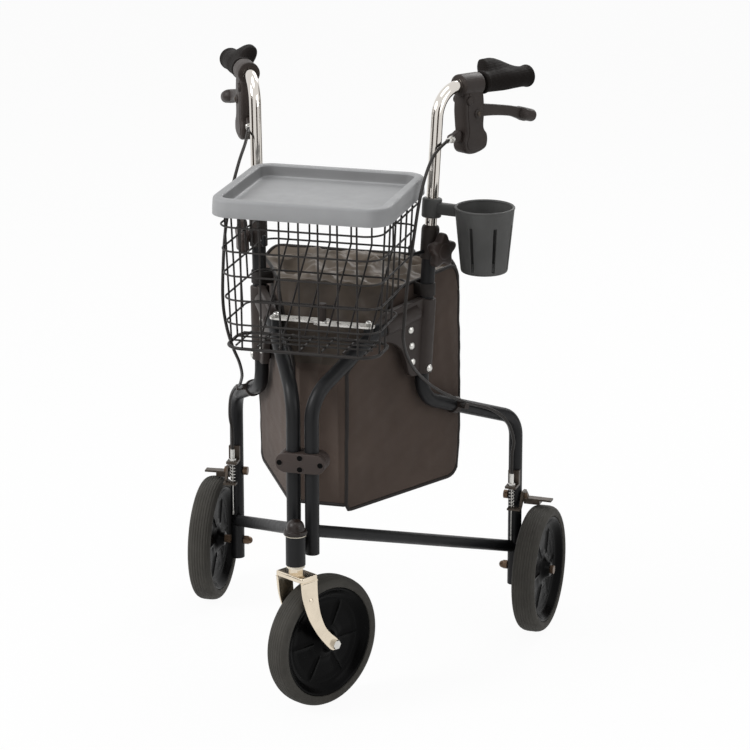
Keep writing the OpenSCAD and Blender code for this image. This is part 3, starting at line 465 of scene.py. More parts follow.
def slab_grid(outline: np.ndarray, low: float, high: float, edge: float, place: Place,
              steps: int = 4) -> np.ndarray:
    """Thicken an outline into a plate with round edges.

    The rings follow a quarter circle at the lower and at the upper edge.

    Args:
        outline: Points of the closed outline.
        low: Height of the lower face.
        high: Height of the upper face.
        edge: Radius of the edges.
        place: Turns outline coordinates and heights into the row frame.
        steps: Rings of each rounded edge.

    Returns:
        A grid of points, one ring a row.
    """
    turn = np.linspace(0, np.pi / 2, steps + 1)
    depth = np.concatenate([edge * (1 - np.sin(turn)), edge * (1 - np.cos(turn))])
    height = np.concatenate([low + edge * (1 - np.cos(turn)), high - edge * (1 - np.sin(turn))])
    rings = [place(ring[:, 0], ring[:, 1], np.full(len(ring), level))
             for ring, level in ((inset_outline(outline, d), h) for d, h in zip(depth, height))]
    return np.array(rings)


def rounded_outline(width: float, length: float, radius: float, steps: int = 10) -> np.ndarray:
    """Outline of a rectangle with round corners, about its centre.

    Args:
        width: Size along the first axis.
        length: Size along the second axis.
        radius: Radius of the corners.
        steps: Points of each corner.

    Returns:
        Points of the closed outline.
    """
    turn = np.linspace(0, np.pi / 2, steps)
    corners = []
    for quarter, (sx, sy) in enumerate(((1, 1), (-1, 1), (-1, -1), (1, -1))):
        angle = turn + quarter * np.pi / 2
        centre = np.array([sx * (width / 2 - radius), sy * (length / 2 - radius)])
        corners.append(centre + radius * np.stack([np.cos(angle), np.sin(angle)], axis=1))
    return np.vstack(corners)


class Shell:
    """Gathers grids into one piece and puts it into the scene."""

    def __init__(self, name: str) -> None:
        """Start an empty piece.

        Args:
            name: Name of the piece.
        """
        self.name = name
        self.points: list[np.ndarray] = []
        self.faces: list[tuple[int, ...]] = []
        self.count = 0

    def add(self, grid: np.ndarray, around: bool = True, capped: bool = True, ring: bool = False) -> "Shell":
        """Add a grid of points as a surface of quads.

        Args:
            grid: Rows of points.
            around: Whether each row closes on itself.
            capped: Whether the first and last rows are closed by a face.
            ring: Whether the last row joins the first.

        Returns:
            This piece.
        """
        rows, columns = grid.shape[:2]
        index = np.arange(rows * columns).reshape(rows, columns) + self.count
        if around:
            index = np.hstack([index, index[:, :1]])
        if ring:
            index = np.vstack([index, index[:1]])
        quads = np.stack([index[:-1, :-1], index[:-1, 1:], index[1:, 1:], index[1:, :-1]], axis=-1)
        self.faces.extend(map(tuple, quads.reshape(-1, 4).tolist()))
        if capped and around and not ring:
            self.faces.append(tuple(index[0, :columns].tolist()))
            self.faces.append(tuple(index[-1, :columns].tolist()))
        self.points.append(grid.reshape(-1, 3))
        self.count += rows * columns
        return self

    def plate(self, inner: np.ndarray, outer: np.ndarray, keep: np.ndarray) -> "Shell":
        """Add a wall between two grids that close round, leaving out the cells that are not kept.

        Each kept cell gives an inner and an outer face, and each edge towards a missing cell a side face.

        Args:
            inner: Grid of the inner face.
            outer: Grid of the outer face.
            keep: Which cells are kept, one row and column for each cell.

        Returns:
            This piece.
        """
        rows, columns = inner.shape[:2]
        index = np.arange(rows * columns).reshape(rows, columns)
        index = np.hstack([index, index[:, :1]]) + self.count
        shift = rows * columns
        corner = np.stack([index[:-1, :-1], index[:-1, 1:], index[1:, 1:], index[1:, :-1]], -1)
        near = corner[keep]
        faces = near.tolist() + (near[:, ::-1] + shift).tolist()
        padded = np.pad(keep, ((1, 1), (0, 0)))
        neighbours = {(0, 1): padded[:-2], (2, 3): padded[2:],
                      (1, 2): np.roll(keep, -1, 1), (3, 0): np.roll(keep, 1, 1)}
        for (a, b), other in neighbours.items():
            edge = corner[keep & ~other]
            faces += np.stack([edge[:, b], edge[:, a], edge[:, a] + shift, edge[:, b] + shift], -1).tolist()
        self.faces.extend(map(tuple, faces))
        self.points.append(np.vstack([inner.reshape(-1, 3), outer.reshape(-1, 3)]))
        self.count += 2 * shift
        return self

    def build(self, finish: Finish, angle: float = 40.0) -> bpy.types.Object:
        """Make the mesh with outward faces and its finish.

        Args:
            finish: The piece's finish.
            angle: Edges sharper than this many degrees stay sharp.

        Returns:
            The new object.
        """
        mesh = bpy.data.meshes.new(self.name)
        mesh.from_pydata(np.vstack(self.points).tolist(), [], self.faces)
        work = bmesh.new()
        work.from_mesh(mesh)
        bmesh.ops.recalc_face_normals(work, faces=work.faces)
        work.to_mesh(mesh)
        work.free()
        mesh.polygons.foreach_set("use_smooth", np.ones(len(mesh.polygons), bool))
        mesh.set_sharp_from_angle(angle=math.radians(angle))
        mesh.materials.append(finish.material())
        made = bpy.data.objects.new(self.name, mesh)
        bpy.context.scene.collection.objects.link(made)
        return made


def settle(piece: bpy.types.Object, body: str, slot: str, *nodes: str) -> bpy.types.Object:
    """Attach a piece to its body and hide the CAD nodes it stands for.

    Args:
        piece: The piece.
        body: Body that carries it.
        slot: Material slot of the record; not used.
        nodes: CAD nodes that it replaces.

    Returns:
        The piece.
    """
    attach(piece, body)
    if nodes:
        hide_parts(*nodes)
    LOG.info("%s: %d faces", piece.name, len(piece.data.polygons))
    return piece


@dataclass(frozen=True)
class Layout:
    """Sizes that the whole rollator shares, in millimetres and degrees, as in the part's source."""

    post_x: float = 14.5
    post_y: float = -210.05
    splay: float = 28.5
    toe: float = 3.0
    lean: float = 4.5
    knee_u: float = 239.0
    knee_z: float = 433.0
    hip_u: float = 463.0
    handle_top: float = 916.0
    grip_turn: float = -3.0
    lift: float = 6.0
    wheel_out: float = 41.6
    brake_line: tuple[float, float] = (1.0, -24.0)
    head_y: float = -40.0
    caster_turn: float = 30.0
    trail: float = 54.0

    def side(self, hand: Hand, o: Amount, u: Amount, z: Amount) -> np.ndarray:
        """Place points of a side frame: outward, along the frame and height.

        Args:
            hand: The side.
            o: Distances outward.
            u: Distances back along the frame.
            z: Heights over the lift that the wheels give the frame.

        Returns:
            Points in the row frame, in metres.
        """
        turn = math.radians(self.splay)
        o, u, z = np.broadcast_arrays(o, u, z)
        x = hand.value * (self.post_x + o * math.cos(turn) + u * math.sin(turn))
        y = self.post_y - o * math.sin(turn) + u * math.cos(turn)
        return np.stack([x, y, z + self.lift], axis=-1) * MM

    def outward(self, hand: Hand) -> np.ndarray:
        """Step of one millimetre outward from the plane of a side frame."""
        return self.side(hand, 1.0, 0.0, 0.0) - self.side(hand, 0.0, 0.0, 0.0)

    def upright_u(self, z: float) -> float:
        """Distance back to the upright's axis at a height."""
        return self.knee_u + (z - self.knee_z) * math.tan(math.radians(self.lean))

    def upright(self, hand: Hand, z: float) -> tuple[np.ndarray, np.ndarray]:
        """Point on the upright's axis at a height, and the axis' direction."""
        foot = self.side(hand, 0.0, self.upright_u(z), z)
        return foot, self.side(hand, 0.0, self.upright_u(z + 1.0), z + 1.0) - foot

    def axle(self, hand: Hand, x: Amount, y: Amount, z: Amount) -> np.ndarray:
        """Place points of the rear leg's frame: outward along the axle, back and height.

        Args:
            hand: The side.
            x: Distances outward along the axle.
            y: Distances back.
            z: Heights.

        Returns:
            Points in the row frame, in metres.
        """
        o, u = turned(x, y, self.splay - self.toe)
        return self.side(hand, o, self.hip_u + u, z)

    def grip(self, hand: Hand, x: Amount, along: Amount, up: Amount) -> np.ndarray:
        """Place points of the handle's grip line: outward, back along the grip and up from it.

        Args:
            hand: The side.
            x: Distances outward.
            along: Distances back from the handle's corner.
            up: Distances up from the grip's axis.

        Returns:
            Points in the row frame, in metres.
        """
        u, z = turned(along, up, self.grip_turn)
        return self.side(hand, x, self.upright_u(self.handle_top) + u, self.handle_top + z)

    def grip_axis(self, hand: Hand, along: float) -> tuple[np.ndarray, np.ndarray]:
        """Point on the grip's axis at a distance back, and the axis' direction."""
        spot = self.grip(hand, 0.0, along, 0.0)
        return spot, self.grip(hand, 0.0, along + 1.0, 0.0) - spot

    def caster(self, x: Amount, y: Amount, z: Amount) -> np.ndarray:
        """Place points of the caster: along its trail, across it and height.

        Args:
            x: Distances along the trail.
            y: Distances across.
            z: Heights.

        Returns:
            Points in the row frame, in metres.
        """
        x, y, z = np.broadcast_arrays(x, y, z)
        right, back = turned(x, y, 90.0 - self.caster_turn)
        return np.stack([right, self.post_y + self.head_y + back, z], axis=-1) * MM


PLAN = Layout()


@dataclass
class Studio:
    """Camera at the photograph's angle, plain floor and soft light.

    A card has a name, a bearing and a half width. A lamp has a name, a place, a size and its watts.
    """

    azimuth: float = 15.48
    elevation: float = 16.97
    distance: float = 5.47
    target: tuple[float, float, float] = (0.0434, 0.2527, 0.456)
    focal_pixels: float = 3486.0
    picture_pixels: float = 750.0
    sensor: float = 36.0
    floor_reach: float = 12.0
    floor_white: float = 0.95
    card_away: float = 1.7
    card_top: float = 1.5
    cards: tuple[tuple[str, float, float], ...] = (
        ("left_card", -68.0, 0.55), ("front_card", 22.0, 0.42), ("right_card", 125.0, 0.4))
    lamps: tuple[tuple[str, tuple[float, float, float], float, float], ...] = (
        ("key_lamp", (-2.5, -1.9, 2.4), 1.5, 84.0), ("fill_lamp", (2.8, -1.2, 1.7), 1.8, 18.0),
        ("rim_lamp", (0.6, 2.4, 2.4), 1.4, 34.0), ("top_lamp", (-0.2, -0.3, 3.2), 1.6, 15.0))
    lamp_aim: tuple[float, float, float] = (0.0, 0.0, 0.45)
    ambient: float = 0.33

    def build(self) -> None:
        """Put up camera, floor, lamps and world."""
        self._camera()
        self._floor()
        self._cards()
        self._lamps()
        self._world()
        bpy.context.scene.view_settings.view_transform = "Standard"

    def _camera(self) -> None:
        """Aim the camera at the middle of the picture."""
        a = math.radians(self.azimuth)
        e = math.radians(self.elevation)
        back = np.array([math.sin(a) * math.cos(e), -math.cos(a) * math.cos(e), math.sin(e)])
        target = np.array(self.target) + np.array([0.0, PLAN.post_y * MM, 0.0])
        data = bpy.data.cameras.new("photo_camera")
        data.sensor_width = self.sensor
        data.lens = self.focal_pixels / self.picture_pixels * self.sensor
        camera = bpy.data.objects.new("photo_camera", data)
        camera.location = target + self.distance * back
        camera.rotation_euler = (math.pi / 2 - e, 0.0, a)
        bpy.context.scene.collection.objects.link(camera)
        bpy.context.scene.camera = camera

    def _floor(self) -> None:
        """Lay a pale floor that shows white and keeps a soft shadow."""
        reach = self.floor_reach
        mesh = bpy.data.meshes.new("floor")
        mesh.from_pydata([(-reach, -reach, 0), (reach, -reach, 0), (reach, reach, 0), (-reach, reach, 0)], [],
                         [(0, 1, 2, 3)])
        material = bpy.data.materials.new("pale_floor")
        material.use_nodes = True
        nodes = material.node_tree.nodes
        links = material.node_tree.links
        shader = nodes["Principled BSDF"]
        shader.inputs["Base Color"].default_value = (0.86, 0.86, 0.86, 1.0)
        shader.inputs["Roughness"].default_value = 0.9
        glow = nodes.new("ShaderNodeEmission")
        glow.inputs["Color"].default_value = (1.0, 1.0, 1.0, 1.0)
        mix = nodes.new("ShaderNodeMixShader")
        share = nodes.new("ShaderNodeMath")
        share.operation = "MULTIPLY"
        share.inputs[1].default_value = self.floor_white
        links.new(self._seen(nodes, links), share.inputs[0])
        links.new(share.outputs["Value"], mix.inputs["Fac"])
        links.new(shader.outputs["BSDF"], mix.inputs[1])
        links.new(glow.outputs["Emission"], mix.inputs[2])
        links.new(mix.outputs["Shader"], nodes["Material Output"].inputs["Surface"])
        mesh.materials.append(material)
        floor = bpy.data.objects.new("floor", mesh)
        bpy.context.scene.collection.objects.link(floor)

    @staticmethod
    def _seen(nodes: bpy.types.Nodes, links: bpy.types.NodeLinks) -> bpy.types.NodeSocket:
        """Tell rays that see the background from rays that light the object.

        Args:
            nodes: Nodes of the tree.
            links: Links of the tree.

        Returns:
            A socket that is 1 for camera, glossy and transmission rays.
        """
        path = nodes.new("ShaderNodeLightPath")
        first = nodes.new("ShaderNodeMath")
        first.operation = "MAXIMUM"
        second = nodes.new("ShaderNodeMath")
        second.operation = "MAXIMUM"
        links.new(path.outputs["Is Camera Ray"], first.inputs[0])
        links.new(path.outputs["Is Glossy Ray"], first.inputs[1])
        links.new(first.outputs["Value"], second.inputs[0])
        links.new(path.outputs["Is Transmission Ray"], second.inputs[1])
        return second.outputs["Value"]

    def _cards(self) -> None:
        """Stand dark cards beside the object that only reflections see, as dark studio walls do."""
        material = bpy.data.materials.new("dark_card")
        material.use_nodes = True
        shader = material.node_tree.nodes["Principled BSDF"]
        shader.inputs["Base Color"].default_value = (0.05, 0.036, 0.027, 1.0)
        shader.inputs["Roughness"].default_value = 0.9
        foot, top = 0.01, self.card_top
        for name, bearing, half in self.cards:
            turn = math.radians(bearing + self.azimuth)
            out = np.array([math.sin(turn), -math.cos(turn)]) * self.card_away
            along = np.array([math.cos(turn), math.sin(turn)]) * half
            low, high = out - along, out + along
            mesh = bpy.data.meshes.new(name)
            mesh.from_pydata([(*low, foot), (*high, foot), (*high, top), (*low, top)], [], [(0, 1, 2, 3)])
            mesh.materials.append(material)
            card = bpy.data.objects.new(name, mesh)
            card.visible_camera = False
            card.visible_diffuse = False
            card.visible_transmission = False
            card.visible_shadow = False
            bpy.context.scene.collection.objects.link(card)

    def _lamps(self) -> None:
        """Hang a broad key lamp, a fill, a rim and a top lamp, all aimed at the object's middle."""
        for name, place, size, power in self.lamps:
            data = bpy.data.lights.new(name, "AREA")
            data.size = size
            data.energy = power
            lamp = bpy.data.objects.new(name, data)
            lamp.location = place
            aim = np.array(self.lamp_aim) - np.array(place)
            flat = math.hypot(aim[0], aim[1])
            lamp.rotation_euler = (math.atan2(flat, -aim[2]), 0.0, math.atan2(aim[1], aim[0]) - math.pi / 2)
            bpy.context.scene.collection.objects.link(lamp)

    def _world(self) -> None:
        """Make the background white and let it light the object softly."""
        world = bpy.data.worlds.new("studio")
        bpy.context.scene.world = world
        world.use_nodes = True
        nodes = world.node_tree.nodes
        links = world.node_tree.links
        background = nodes["Background"]
        background.inputs["Color"].default_value = (1.0, 1.0, 1.0, 1.0)
        level = nodes.new("ShaderNodeMapRange")
        level.inputs["To Min"].default_value = self.ambient
        level.inputs["To Max"].default_value = 1.0
        links.new(self._seen(nodes, links), level.inputs["Value"])
        links.new(level.outputs["Result"], background.inputs["Strength"])


@dataclass
class CadFinishes:
    """Finishes of the CAD nodes that stay as they are."""

    side_nodes: dict[str, Finish] = field(default_factory=lambda: {
        "main_tube": FINISH.paint, "front_post": FINISH.paint, "lower_bar": FINISH.paint,
        "side_bracket": FINISH.moulded, "rivets": FINISH.steel, "tube_collar": FINISH.moulded,
        "star_knob": FINISH.moulded, "handle_tube": FINISH.chrome, "hand_grip": FINISH.grip,
        "brake_housing": FINISH.moulded, "brake_lever": FINISH.moulded, "brake_cable": FINISH.sleeve,
        "cable_clip": FINISH.moulded, "brake_bracket": FINISH.dark_steel, "cable_adjuster": FINISH.steel,
        "brake_spring": FINISH.steel, "brake_arm": FINISH.dark_steel, "rear_tyre": FINISH.tyre,
        "rear_hub": FINISH.hub, "rear_axle": FINISH.bronze})
    centre_nodes: dict[str, Finish] = field(default_factory=lambda: {
        "head_tube": FINISH.paint, "head_cap": FINISH.moulded, "head_bearings": FINISH.bush,
        "caster_fork": FINISH.chrome, "front_hub": FINISH.hub, "front_tyre": FINISH.tyre,
        "front_axle": FINISH.steel, "hinge_block_front": FINISH.block, "hinge_block_rear": FINISH.block,
        "hinge_screws": FINISH.dark_steel, "brace_left": FINISH.strap, "brace_right": FINISH.strap,
        "brace_pull": FINISH.moulded, "basket_front": FINISH.wire, "basket_sides": FINISH.wire,
        "basket_back": FINISH.wire, "basket_floor": FINISH.wire, "tray": FINISH.tray, "bag": FINISH.cloth,
        "cup_holder": FINISH.cup})

    def dress(self) -> None:
        """Give every CAD node its finish."""
        named = dict(self.centre_nodes)
        for hand in Hand:
            named.update({f"{hand.word}_{name}": finish for name, finish in self.side_nodes.items()})
        for name, finish in named.items():
            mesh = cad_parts[name].data
            mesh.materials.clear()
            mesh.materials.append(finish.material())
            LOG.info("finish of %s: %s", name, finish.name)


@dataclass
class Cables:
    """Brake cables with their bare springs."""

    diameter: float = 5.0
    steps: int = 8
    clip: tuple[float, float, float] = (24.0, 290.0, 426.0)
    adjuster_z: float = 238.0
    spring_radius: float = 3.9
    spring_wire: float = 1.2
    spring_turns: int = 6
    spring_steps: int = 24
    spring_low: float = 204.9
    spring_high: float = 237.1

    def route(self) -> np.ndarray:
        """Corner points of the cable: outward, along the frame and height.

        Returns:
            The route in millimetres of the side frame.
        """
        top = PLAN.handle_top
        foot_o, foot_u = turned(*PLAN.brake_line, PLAN.splay - PLAN.toe)
        foot_u += PLAN.hip_u
        return np.array([
            (5, 301, top - 82), (10, 282, top - 83), (22, 244, top - 94), (40, 206, top - 116),
            (58, 172, top - 152), (74, 142, top - 206), (82, 122, top - 262), (84, 114, top - 310),
            (78, 118, top - 350), (64, 146, top - 390), (46, 190, top - 428), (31, 246, top - 466),
            (22, 306, 418), (18, 340, 403), (17, 385, 384), (17, 422, 356), (15, 441, 320),
            (foot_o, foot_u, self.adjuster_z + 56), (foot_o, foot_u, self.adjuster_z + 24.2)], float)

    def build(self, hand: Hand) -> None:
        """Lay the cable and wind the spring of one side.

        Args:
            hand: The side.
        """
        o, u, z = smooth_path(self.route(), self.steps).T
        path = PLAN.side(hand, o, u, z)
        shell = Shell(f"{hand.word}_cable_sleeve").add(tube_grid(path, self.diameter / 2 * MM))
        cable = shell.build(FINISH.sleeve)
        length = float(np.sum(np.linalg.norm(np.diff(path, axis=0), axis=1)))
        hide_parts(f"{hand.word}_brake_cable")
        clip = PLAN.side(hand, *self.clip)
        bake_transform(cable)
        LOG.info("%s: %.3f m long", cable.name, length)
        self._spring(hand)

    def _spring(self, hand: Hand) -> None:
        """Wind the return spring: a circle carried along a helix.

        Args:
            hand: The side.
        """
        turn = np.linspace(0, 2 * np.pi * self.spring_turns, self.spring_steps * self.spring_turns)
        x = PLAN.brake_line[0] + self.spring_radius * np.cos(turn)
        y = PLAN.brake_line[1] + self.spring_radius * np.sin(turn)
        z = np.linspace(self.spring_low, self.spring_high, len(turn))
        path = PLAN.axle(hand, x, y, z)
        spring = Shell(f"{hand.word}_return_spring").add(tube_grid(path, self.spring_wire / 2 * MM, 10))
        piece = spring.build(FINISH.steel)
        settle(piece, f"{hand.word}_frame", "bright_steel", f"{hand.word}_brake_spring")
        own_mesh(piece)


@dataclass
class Wheels:
    """Tyres and dished hubs of the two rear wheels and the caster."""

    radius: float = 103.0
    width: float = 38.0
    hub_radius: float = 86.0
    bore: float = 4.15
    boss: float = 20.0
    ribs: int = 6
    rib_half: float = 0.8
    rib_height: float = 1.8
    panel_depth: float = 1.1
    around: int = 144
    groove_pitch: float = 4.4
    groove_depth: float = 0.7
    groove_power: int = 4
    web_inner: float = 24.0
    web_outer: float = 18.0
    panel_inner: float = 30.0
    panel_outer: float = 22.0

    def build(self) -> None:
        """Make every wheel."""
        height = self.radius - PLAN.lift
        for hand in Hand:
            centre = PLAN.axle(hand, PLAN.wheel_out, 0.0, height)
            outer = PLAN.axle(hand, PLAN.wheel_out + 1.0, 0.0, height)
            self._wheel(f"{hand.word}_rear", centre, outer - centre, f"{hand.word}_wheel")
        centre = PLAN.caster(PLAN.trail, 0.0, self.radius)
        outer = PLAN.caster(PLAN.trail, 1.0, self.radius)
        self._wheel("front", centre, outer - centre, "front_wheel")

    def _wheel(self, name: str, centre: np.ndarray, axis: np.ndarray, body: str) -> None:
        """Make one tyre and one hub.

        Args:
            name: First word of the nodes' names.
            centre: Middle of the wheel.
            axis: Direction of the axle.
            body: Body that carries the wheel.
        """
        tyre = revolve_grid(self._tyre_profile(), centre, axis, self.around)
        piece = Shell(f"{name}_tyre_tread").add(tyre, ring=True).build(FINISH.tyre)
        settle(piece, body, "tyre_rubber", f"{name}_tyre")
        hub = Shell(f"{name}_hub_dish").add(self._hub_grid(centre, axis), ring=True).build(FINISH.hub, 50.0)
        settle(hub, body, "hub_plastic", f"{name}_hub")

    def _tyre_profile(self) -> np.ndarray:
        """Closed section of the tyre: a smooth curve over the tread, the shoulders and the bead.

        A power of a cosine of the distance across cuts the fine grooves of the tread.

        Returns:
            Rows of radius and distance across.
        """
        half = self.width / 2
        foot = self.hub_radius + 0.3
        right = np.array([(0.0, self.radius), (8.0, self.radius - 0.3), (13.4, self.radius - 1.9),
                          (17.0, self.radius - 5.0), (half, self.radius - 9.4), (half - 0.5, foot + 3.0),
                          (half - 1.6, foot + 0.7), (half - 3.2, foot), (0.0, foot)])
        left = right[1:-1][::-1] * np.array([-1.0, 1.0])
        section = smooth_path(np.vstack([right, left]), 16, closed=True)
        wave = 0.5 + 0.5 * np.cos(2 * np.pi * section[:, 0] / self.groove_pitch)
        tread = np.clip((section[:, 1] - self.radius + 3.4) / 1.2, 0, 1)
        section[:, 1] -= self.groove_depth * tread * wave**self.groove_power
        return section[:, ::-1]

    def _hub_grid(self, centre: np.ndarray, axis: np.ndarray) -> np.ndarray:
        """Dish on both faces: boss, cone, web and rim by radius, with thin ribs and sunk panels.

        The height over the middle plane is a curve of the radius plus a relief that depends on the
        distance to the nearest rib line.

        Args:
            centre: Middle of the wheel.
            axis: Direction of the axle.

        Returns:
            A grid whose rows run from the bore on one face over the rim to the bore on the other.
        """
        rim = self.hub_radius
        knots = np.array([(self.bore, self.boss - 0.6), (self.bore + 1.0, self.boss), (9.4, self.boss),
                          (11.4, self.boss - 0.8), (15.0, 13.6), (19.0, 10.2), (24.0, 8.4), (30.0, 7.6),
                          (rim - 22.0, 5.8), (rim - 16.0, 6.2), (rim - 11.5, 8.2), (rim - 7.0, 12.0),
                          (rim - 3.6, 15.2), (rim - 1.2, 16.4), (rim, 15.6)])
        curve = smooth_path(knots, 7)
        angle = full_turn(self.around)
        radius = curve[:, 0][:, None]
        sector = 2 * np.pi / self.ribs
        off_rib = np.abs((angle + sector / 2) % sector - sector / 2)[None, :] * radius
        web = np.clip((radius - self.web_inner) / 3.0, 0, 1)
        web = web * np.clip((rim - self.web_outer - radius) / 3.0, 0, 1)
        rib = np.clip(1.0 - (off_rib - self.rib_half) / 0.8, 0, 1) * web
        panel = np.clip((off_rib - 4.0) / 1.6, 0, 1) * np.clip((radius - self.panel_inner) / 2.0, 0, 1)
        panel = panel * np.clip((rim - self.panel_outer - radius) / 2.0, 0, 1)
        height = curve[:, 1][:, None] + self.rib_height * rib - self.panel_depth * panel
        axis = unit(axis)
        across = unit(np.cross(axis, UP))
        over = np.cross(axis, across)
        spoke = np.cos(angle)[None, :, None] * across + np.sin(angle)[None, :, None] * over
        near = centre + MM * (radius[:, :, None] * spoke + height[:, :, None] * axis)
        far = centre + MM * (radius[:, :, None] * spoke - height[:, :, None] * axis)
        return np.vstack([near, far[::-1]])


def ripple(points: np.ndarray, size: float, seed: int, waves: int = 14) -> np.ndarray:
    """Smooth random height: a sum of sine waves in seeded directions, scaled to about plus or minus one.

    Args:
        points: Points on the last axis, in millimetres.
        size: Typical wave length.
        seed: Seed of the directions and phases.
        waves: How many waves are summed.

    Returns:
        One height for each point.
    """
    draw = np.random.default_rng(seed)
    way = unit(draw.normal(size=(waves, 3))) * 2 * np.pi / (size * draw.uniform(0.6, 1.6, (waves, 1)))
    phase = draw.uniform(0, 2 * np.pi, waves)
    return np.sin(points @ way.T + phase).sum(-1) / math.sqrt(waves)


@dataclass
class Bag:
    """Cloth bag between the side frames: a lofted sack with pleats, a gathered top, piping and straps."""

    floor_z: float = 279.0
    mouth_z: float = 612.0
    inward: float = 19.0
    front_u: float = 92.0
    rear_u: float = 346.0
    shoulder_z: float = 507.0
    strap_z: float = 606.0
    columns: tuple[int, ...] = (72, 84, 16, 70, 16, 84)
    rows: int = 110
    lid_rows: int = 40
    floor_rows: int = 16
    piping_r: float = 2.9
    pleat: float = 31.0
    top_round: float = 42.0
    bottom_round: float = 24.0
    front_round: float = 9.0
    chamfer: tuple[float, float] = (26.0, 18.0)
    shaded_slack_z: tuple[float, float] = (536.0, 580.0)
    shaded_slack_y: tuple[float, float, float] = (134.0, 168.0, 196.0)
    side_belly: float = 4.5
    back_belly: float = 7.0
    pleat_depth: float = 5.0
    rise: float = 16.0
    rise_z: float = 500.0
    rise_y: float = 134.0
    fold_depth: float = 9.0
    crease_depth: float = 2.6
    calm: float = 45.0
    bend: float = 130.0
    bend_y: float = 200.0
    corner_passes: int = 5
    panel_passes: int = 30
    rear_step: float = 2.4
    top_fade: float = 120.0
    foot_fade: float = 80.0
    hood_early: float = 10.0
    hood_fade: float = 40.0
    soft_depth: tuple[float, float] = (1.4, 0.5)
    floor_sag: float = 7.0
    lid_peak: tuple[float, float, float] = (0.0, 6.0, 18.0)
    lid_fold: float = 8.0
    lid_drop: float = 6.0
    lid_crease: float = 1.8
    strap_loop: float = 12.2
    strap_half: float = 10.0
    strap_thin: float = 0.8

    def build(self) -> None:
        """Make the sack, the piping and the straps."""
        walls = self._walls()
        grid = np.vstack([self._floor(walls[0]), walls, self._lid(walls[-1])])
        bag = Shell("bag_shell").add(grid * MM).build(FINISH.cloth, 180.0)
        self._paint(bag)
        self._finish(bag, "bag_fabric", "bag")
        self._piping(walls)
        for hand in Hand:
            self._strap(hand)

    def _finish(self, piece: bpy.types.Object, slot: str, *nodes: str) -> None:
        """Bake a piece of the bag's transform into its mesh and hide the CAD nodes it replaces.

        Args:
            piece: The piece.
            slot: Material slot of the record; not used.
            nodes: CAD nodes that it replaces.
        """
        if nodes:
            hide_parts(*nodes)
        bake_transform(piece)
        LOG.info("%s: %d faces", piece.name, len(piece.data.polygons))

    def _corner(self, u: Amount) -> tuple[Amount, Amount]:
        """Plan position on the right panel at distances along the frame."""
        x, y = turned(-self.inward, u, -PLAN.splay)
        return PLAN.post_x + x, y

    def _front_u(self, height: np.ndarray) -> np.ndarray:
        """Distance along the frame where the front edge stands: upright, then leaning back over the shoulder.

        Args:
            height: Heights of the rows.

        Returns:
            One distance for each height.
        """
        turn = math.radians(PLAN.splay)
        low = self._corner(self.front_u)[1]
        y = np.interp(height, [self.shoulder_z - 6, *self.shaded_slack_z, self.mouth_z], [low, *self.shaded_slack_y])
        return (y - self.inward * math.sin(turn)) / math.cos(turn)

    def _plan(self, height: np.ndarray) -> np.ndarray:
        """Outline of the sack at each height: a trapezium with a chamfered back, softened at its corners.

        Args:
            height: Heights of the rows.

        Returns:
            Rows of plan positions, columns round the bag from the front left edge.
        """
        front_x, front_y = self._corner(self._front_u(height))
        rear_x, rear_y = self._corner(np.full_like(height, self.rear_u))
        cut, deep = self.chamfer
        knots = [(-front_x, front_y), (front_x, front_y), (rear_x, rear_y), (rear_x - cut, rear_y + deep),
                 (cut - rear_x, rear_y + deep), (-rear_x, rear_y)]
        spans = []
        for index, count in enumerate(self.columns):
            x0, y0 = (value[:, None] for value in knots[index])
            x1, y1 = (value[:, None] for value in knots[(index + 1) % len(knots)])
            t = np.arange(count) / count
            spans.append(np.stack([x0 + (x1 - x0) * t, y0 + (y1 - y0) * t], -1))
        plan = np.concatenate(spans, axis=1)
        for _ in range(self.corner_passes):
            plan = 0.5 * plan + 0.25 * (np.roll(plan, 1, 1) + np.roll(plan, -1, 1))
        return plan

    def _rounding(self, height: np.ndarray) -> np.ndarray:
        """Change of height that rounds the panels' corners as quarter circles.

        A corner of radius r drops the edge by r minus the root of r squared minus the square of what is
        left to the corner.

        Args:
            height: Heights of the rows.

        Returns:
            One change for each row and column.
        """
        front, right, chamfer, back, other, _ = self.columns
        length = self.rear_u - self.front_u
        t = np.arange(right) / right * length
        far = length * 9
        rear = np.arange(chamfer + back + other) * self.rear_step
        rear = np.minimum(rear, rear[::-1])
        behind = np.concatenate([np.full(front, far), length - t, rear, t])
        ahead = np.concatenate([np.zeros(front), t, np.full(chamfer + back + other, far), length - t])

        def drop(distance: np.ndarray, radius: float) -> np.ndarray:
            """Height lost at a distance from the corner."""
            left_over = np.maximum(radius - distance, 0.0)
            return radius - np.sqrt(np.maximum(radius**2 - left_over**2, 0.0))

        near_top = np.clip((height - self.mouth_z + self.top_fade) / self.top_fade, 0, 1)[:, None]
        near_foot = np.clip((self.floor_z + self.foot_fade - height) / self.foot_fade, 0, 1)[:, None]
        foot = drop(behind, self.bottom_round) + drop(ahead, self.front_round)
        return near_foot * foot - near_top * drop(behind, self.top_round)

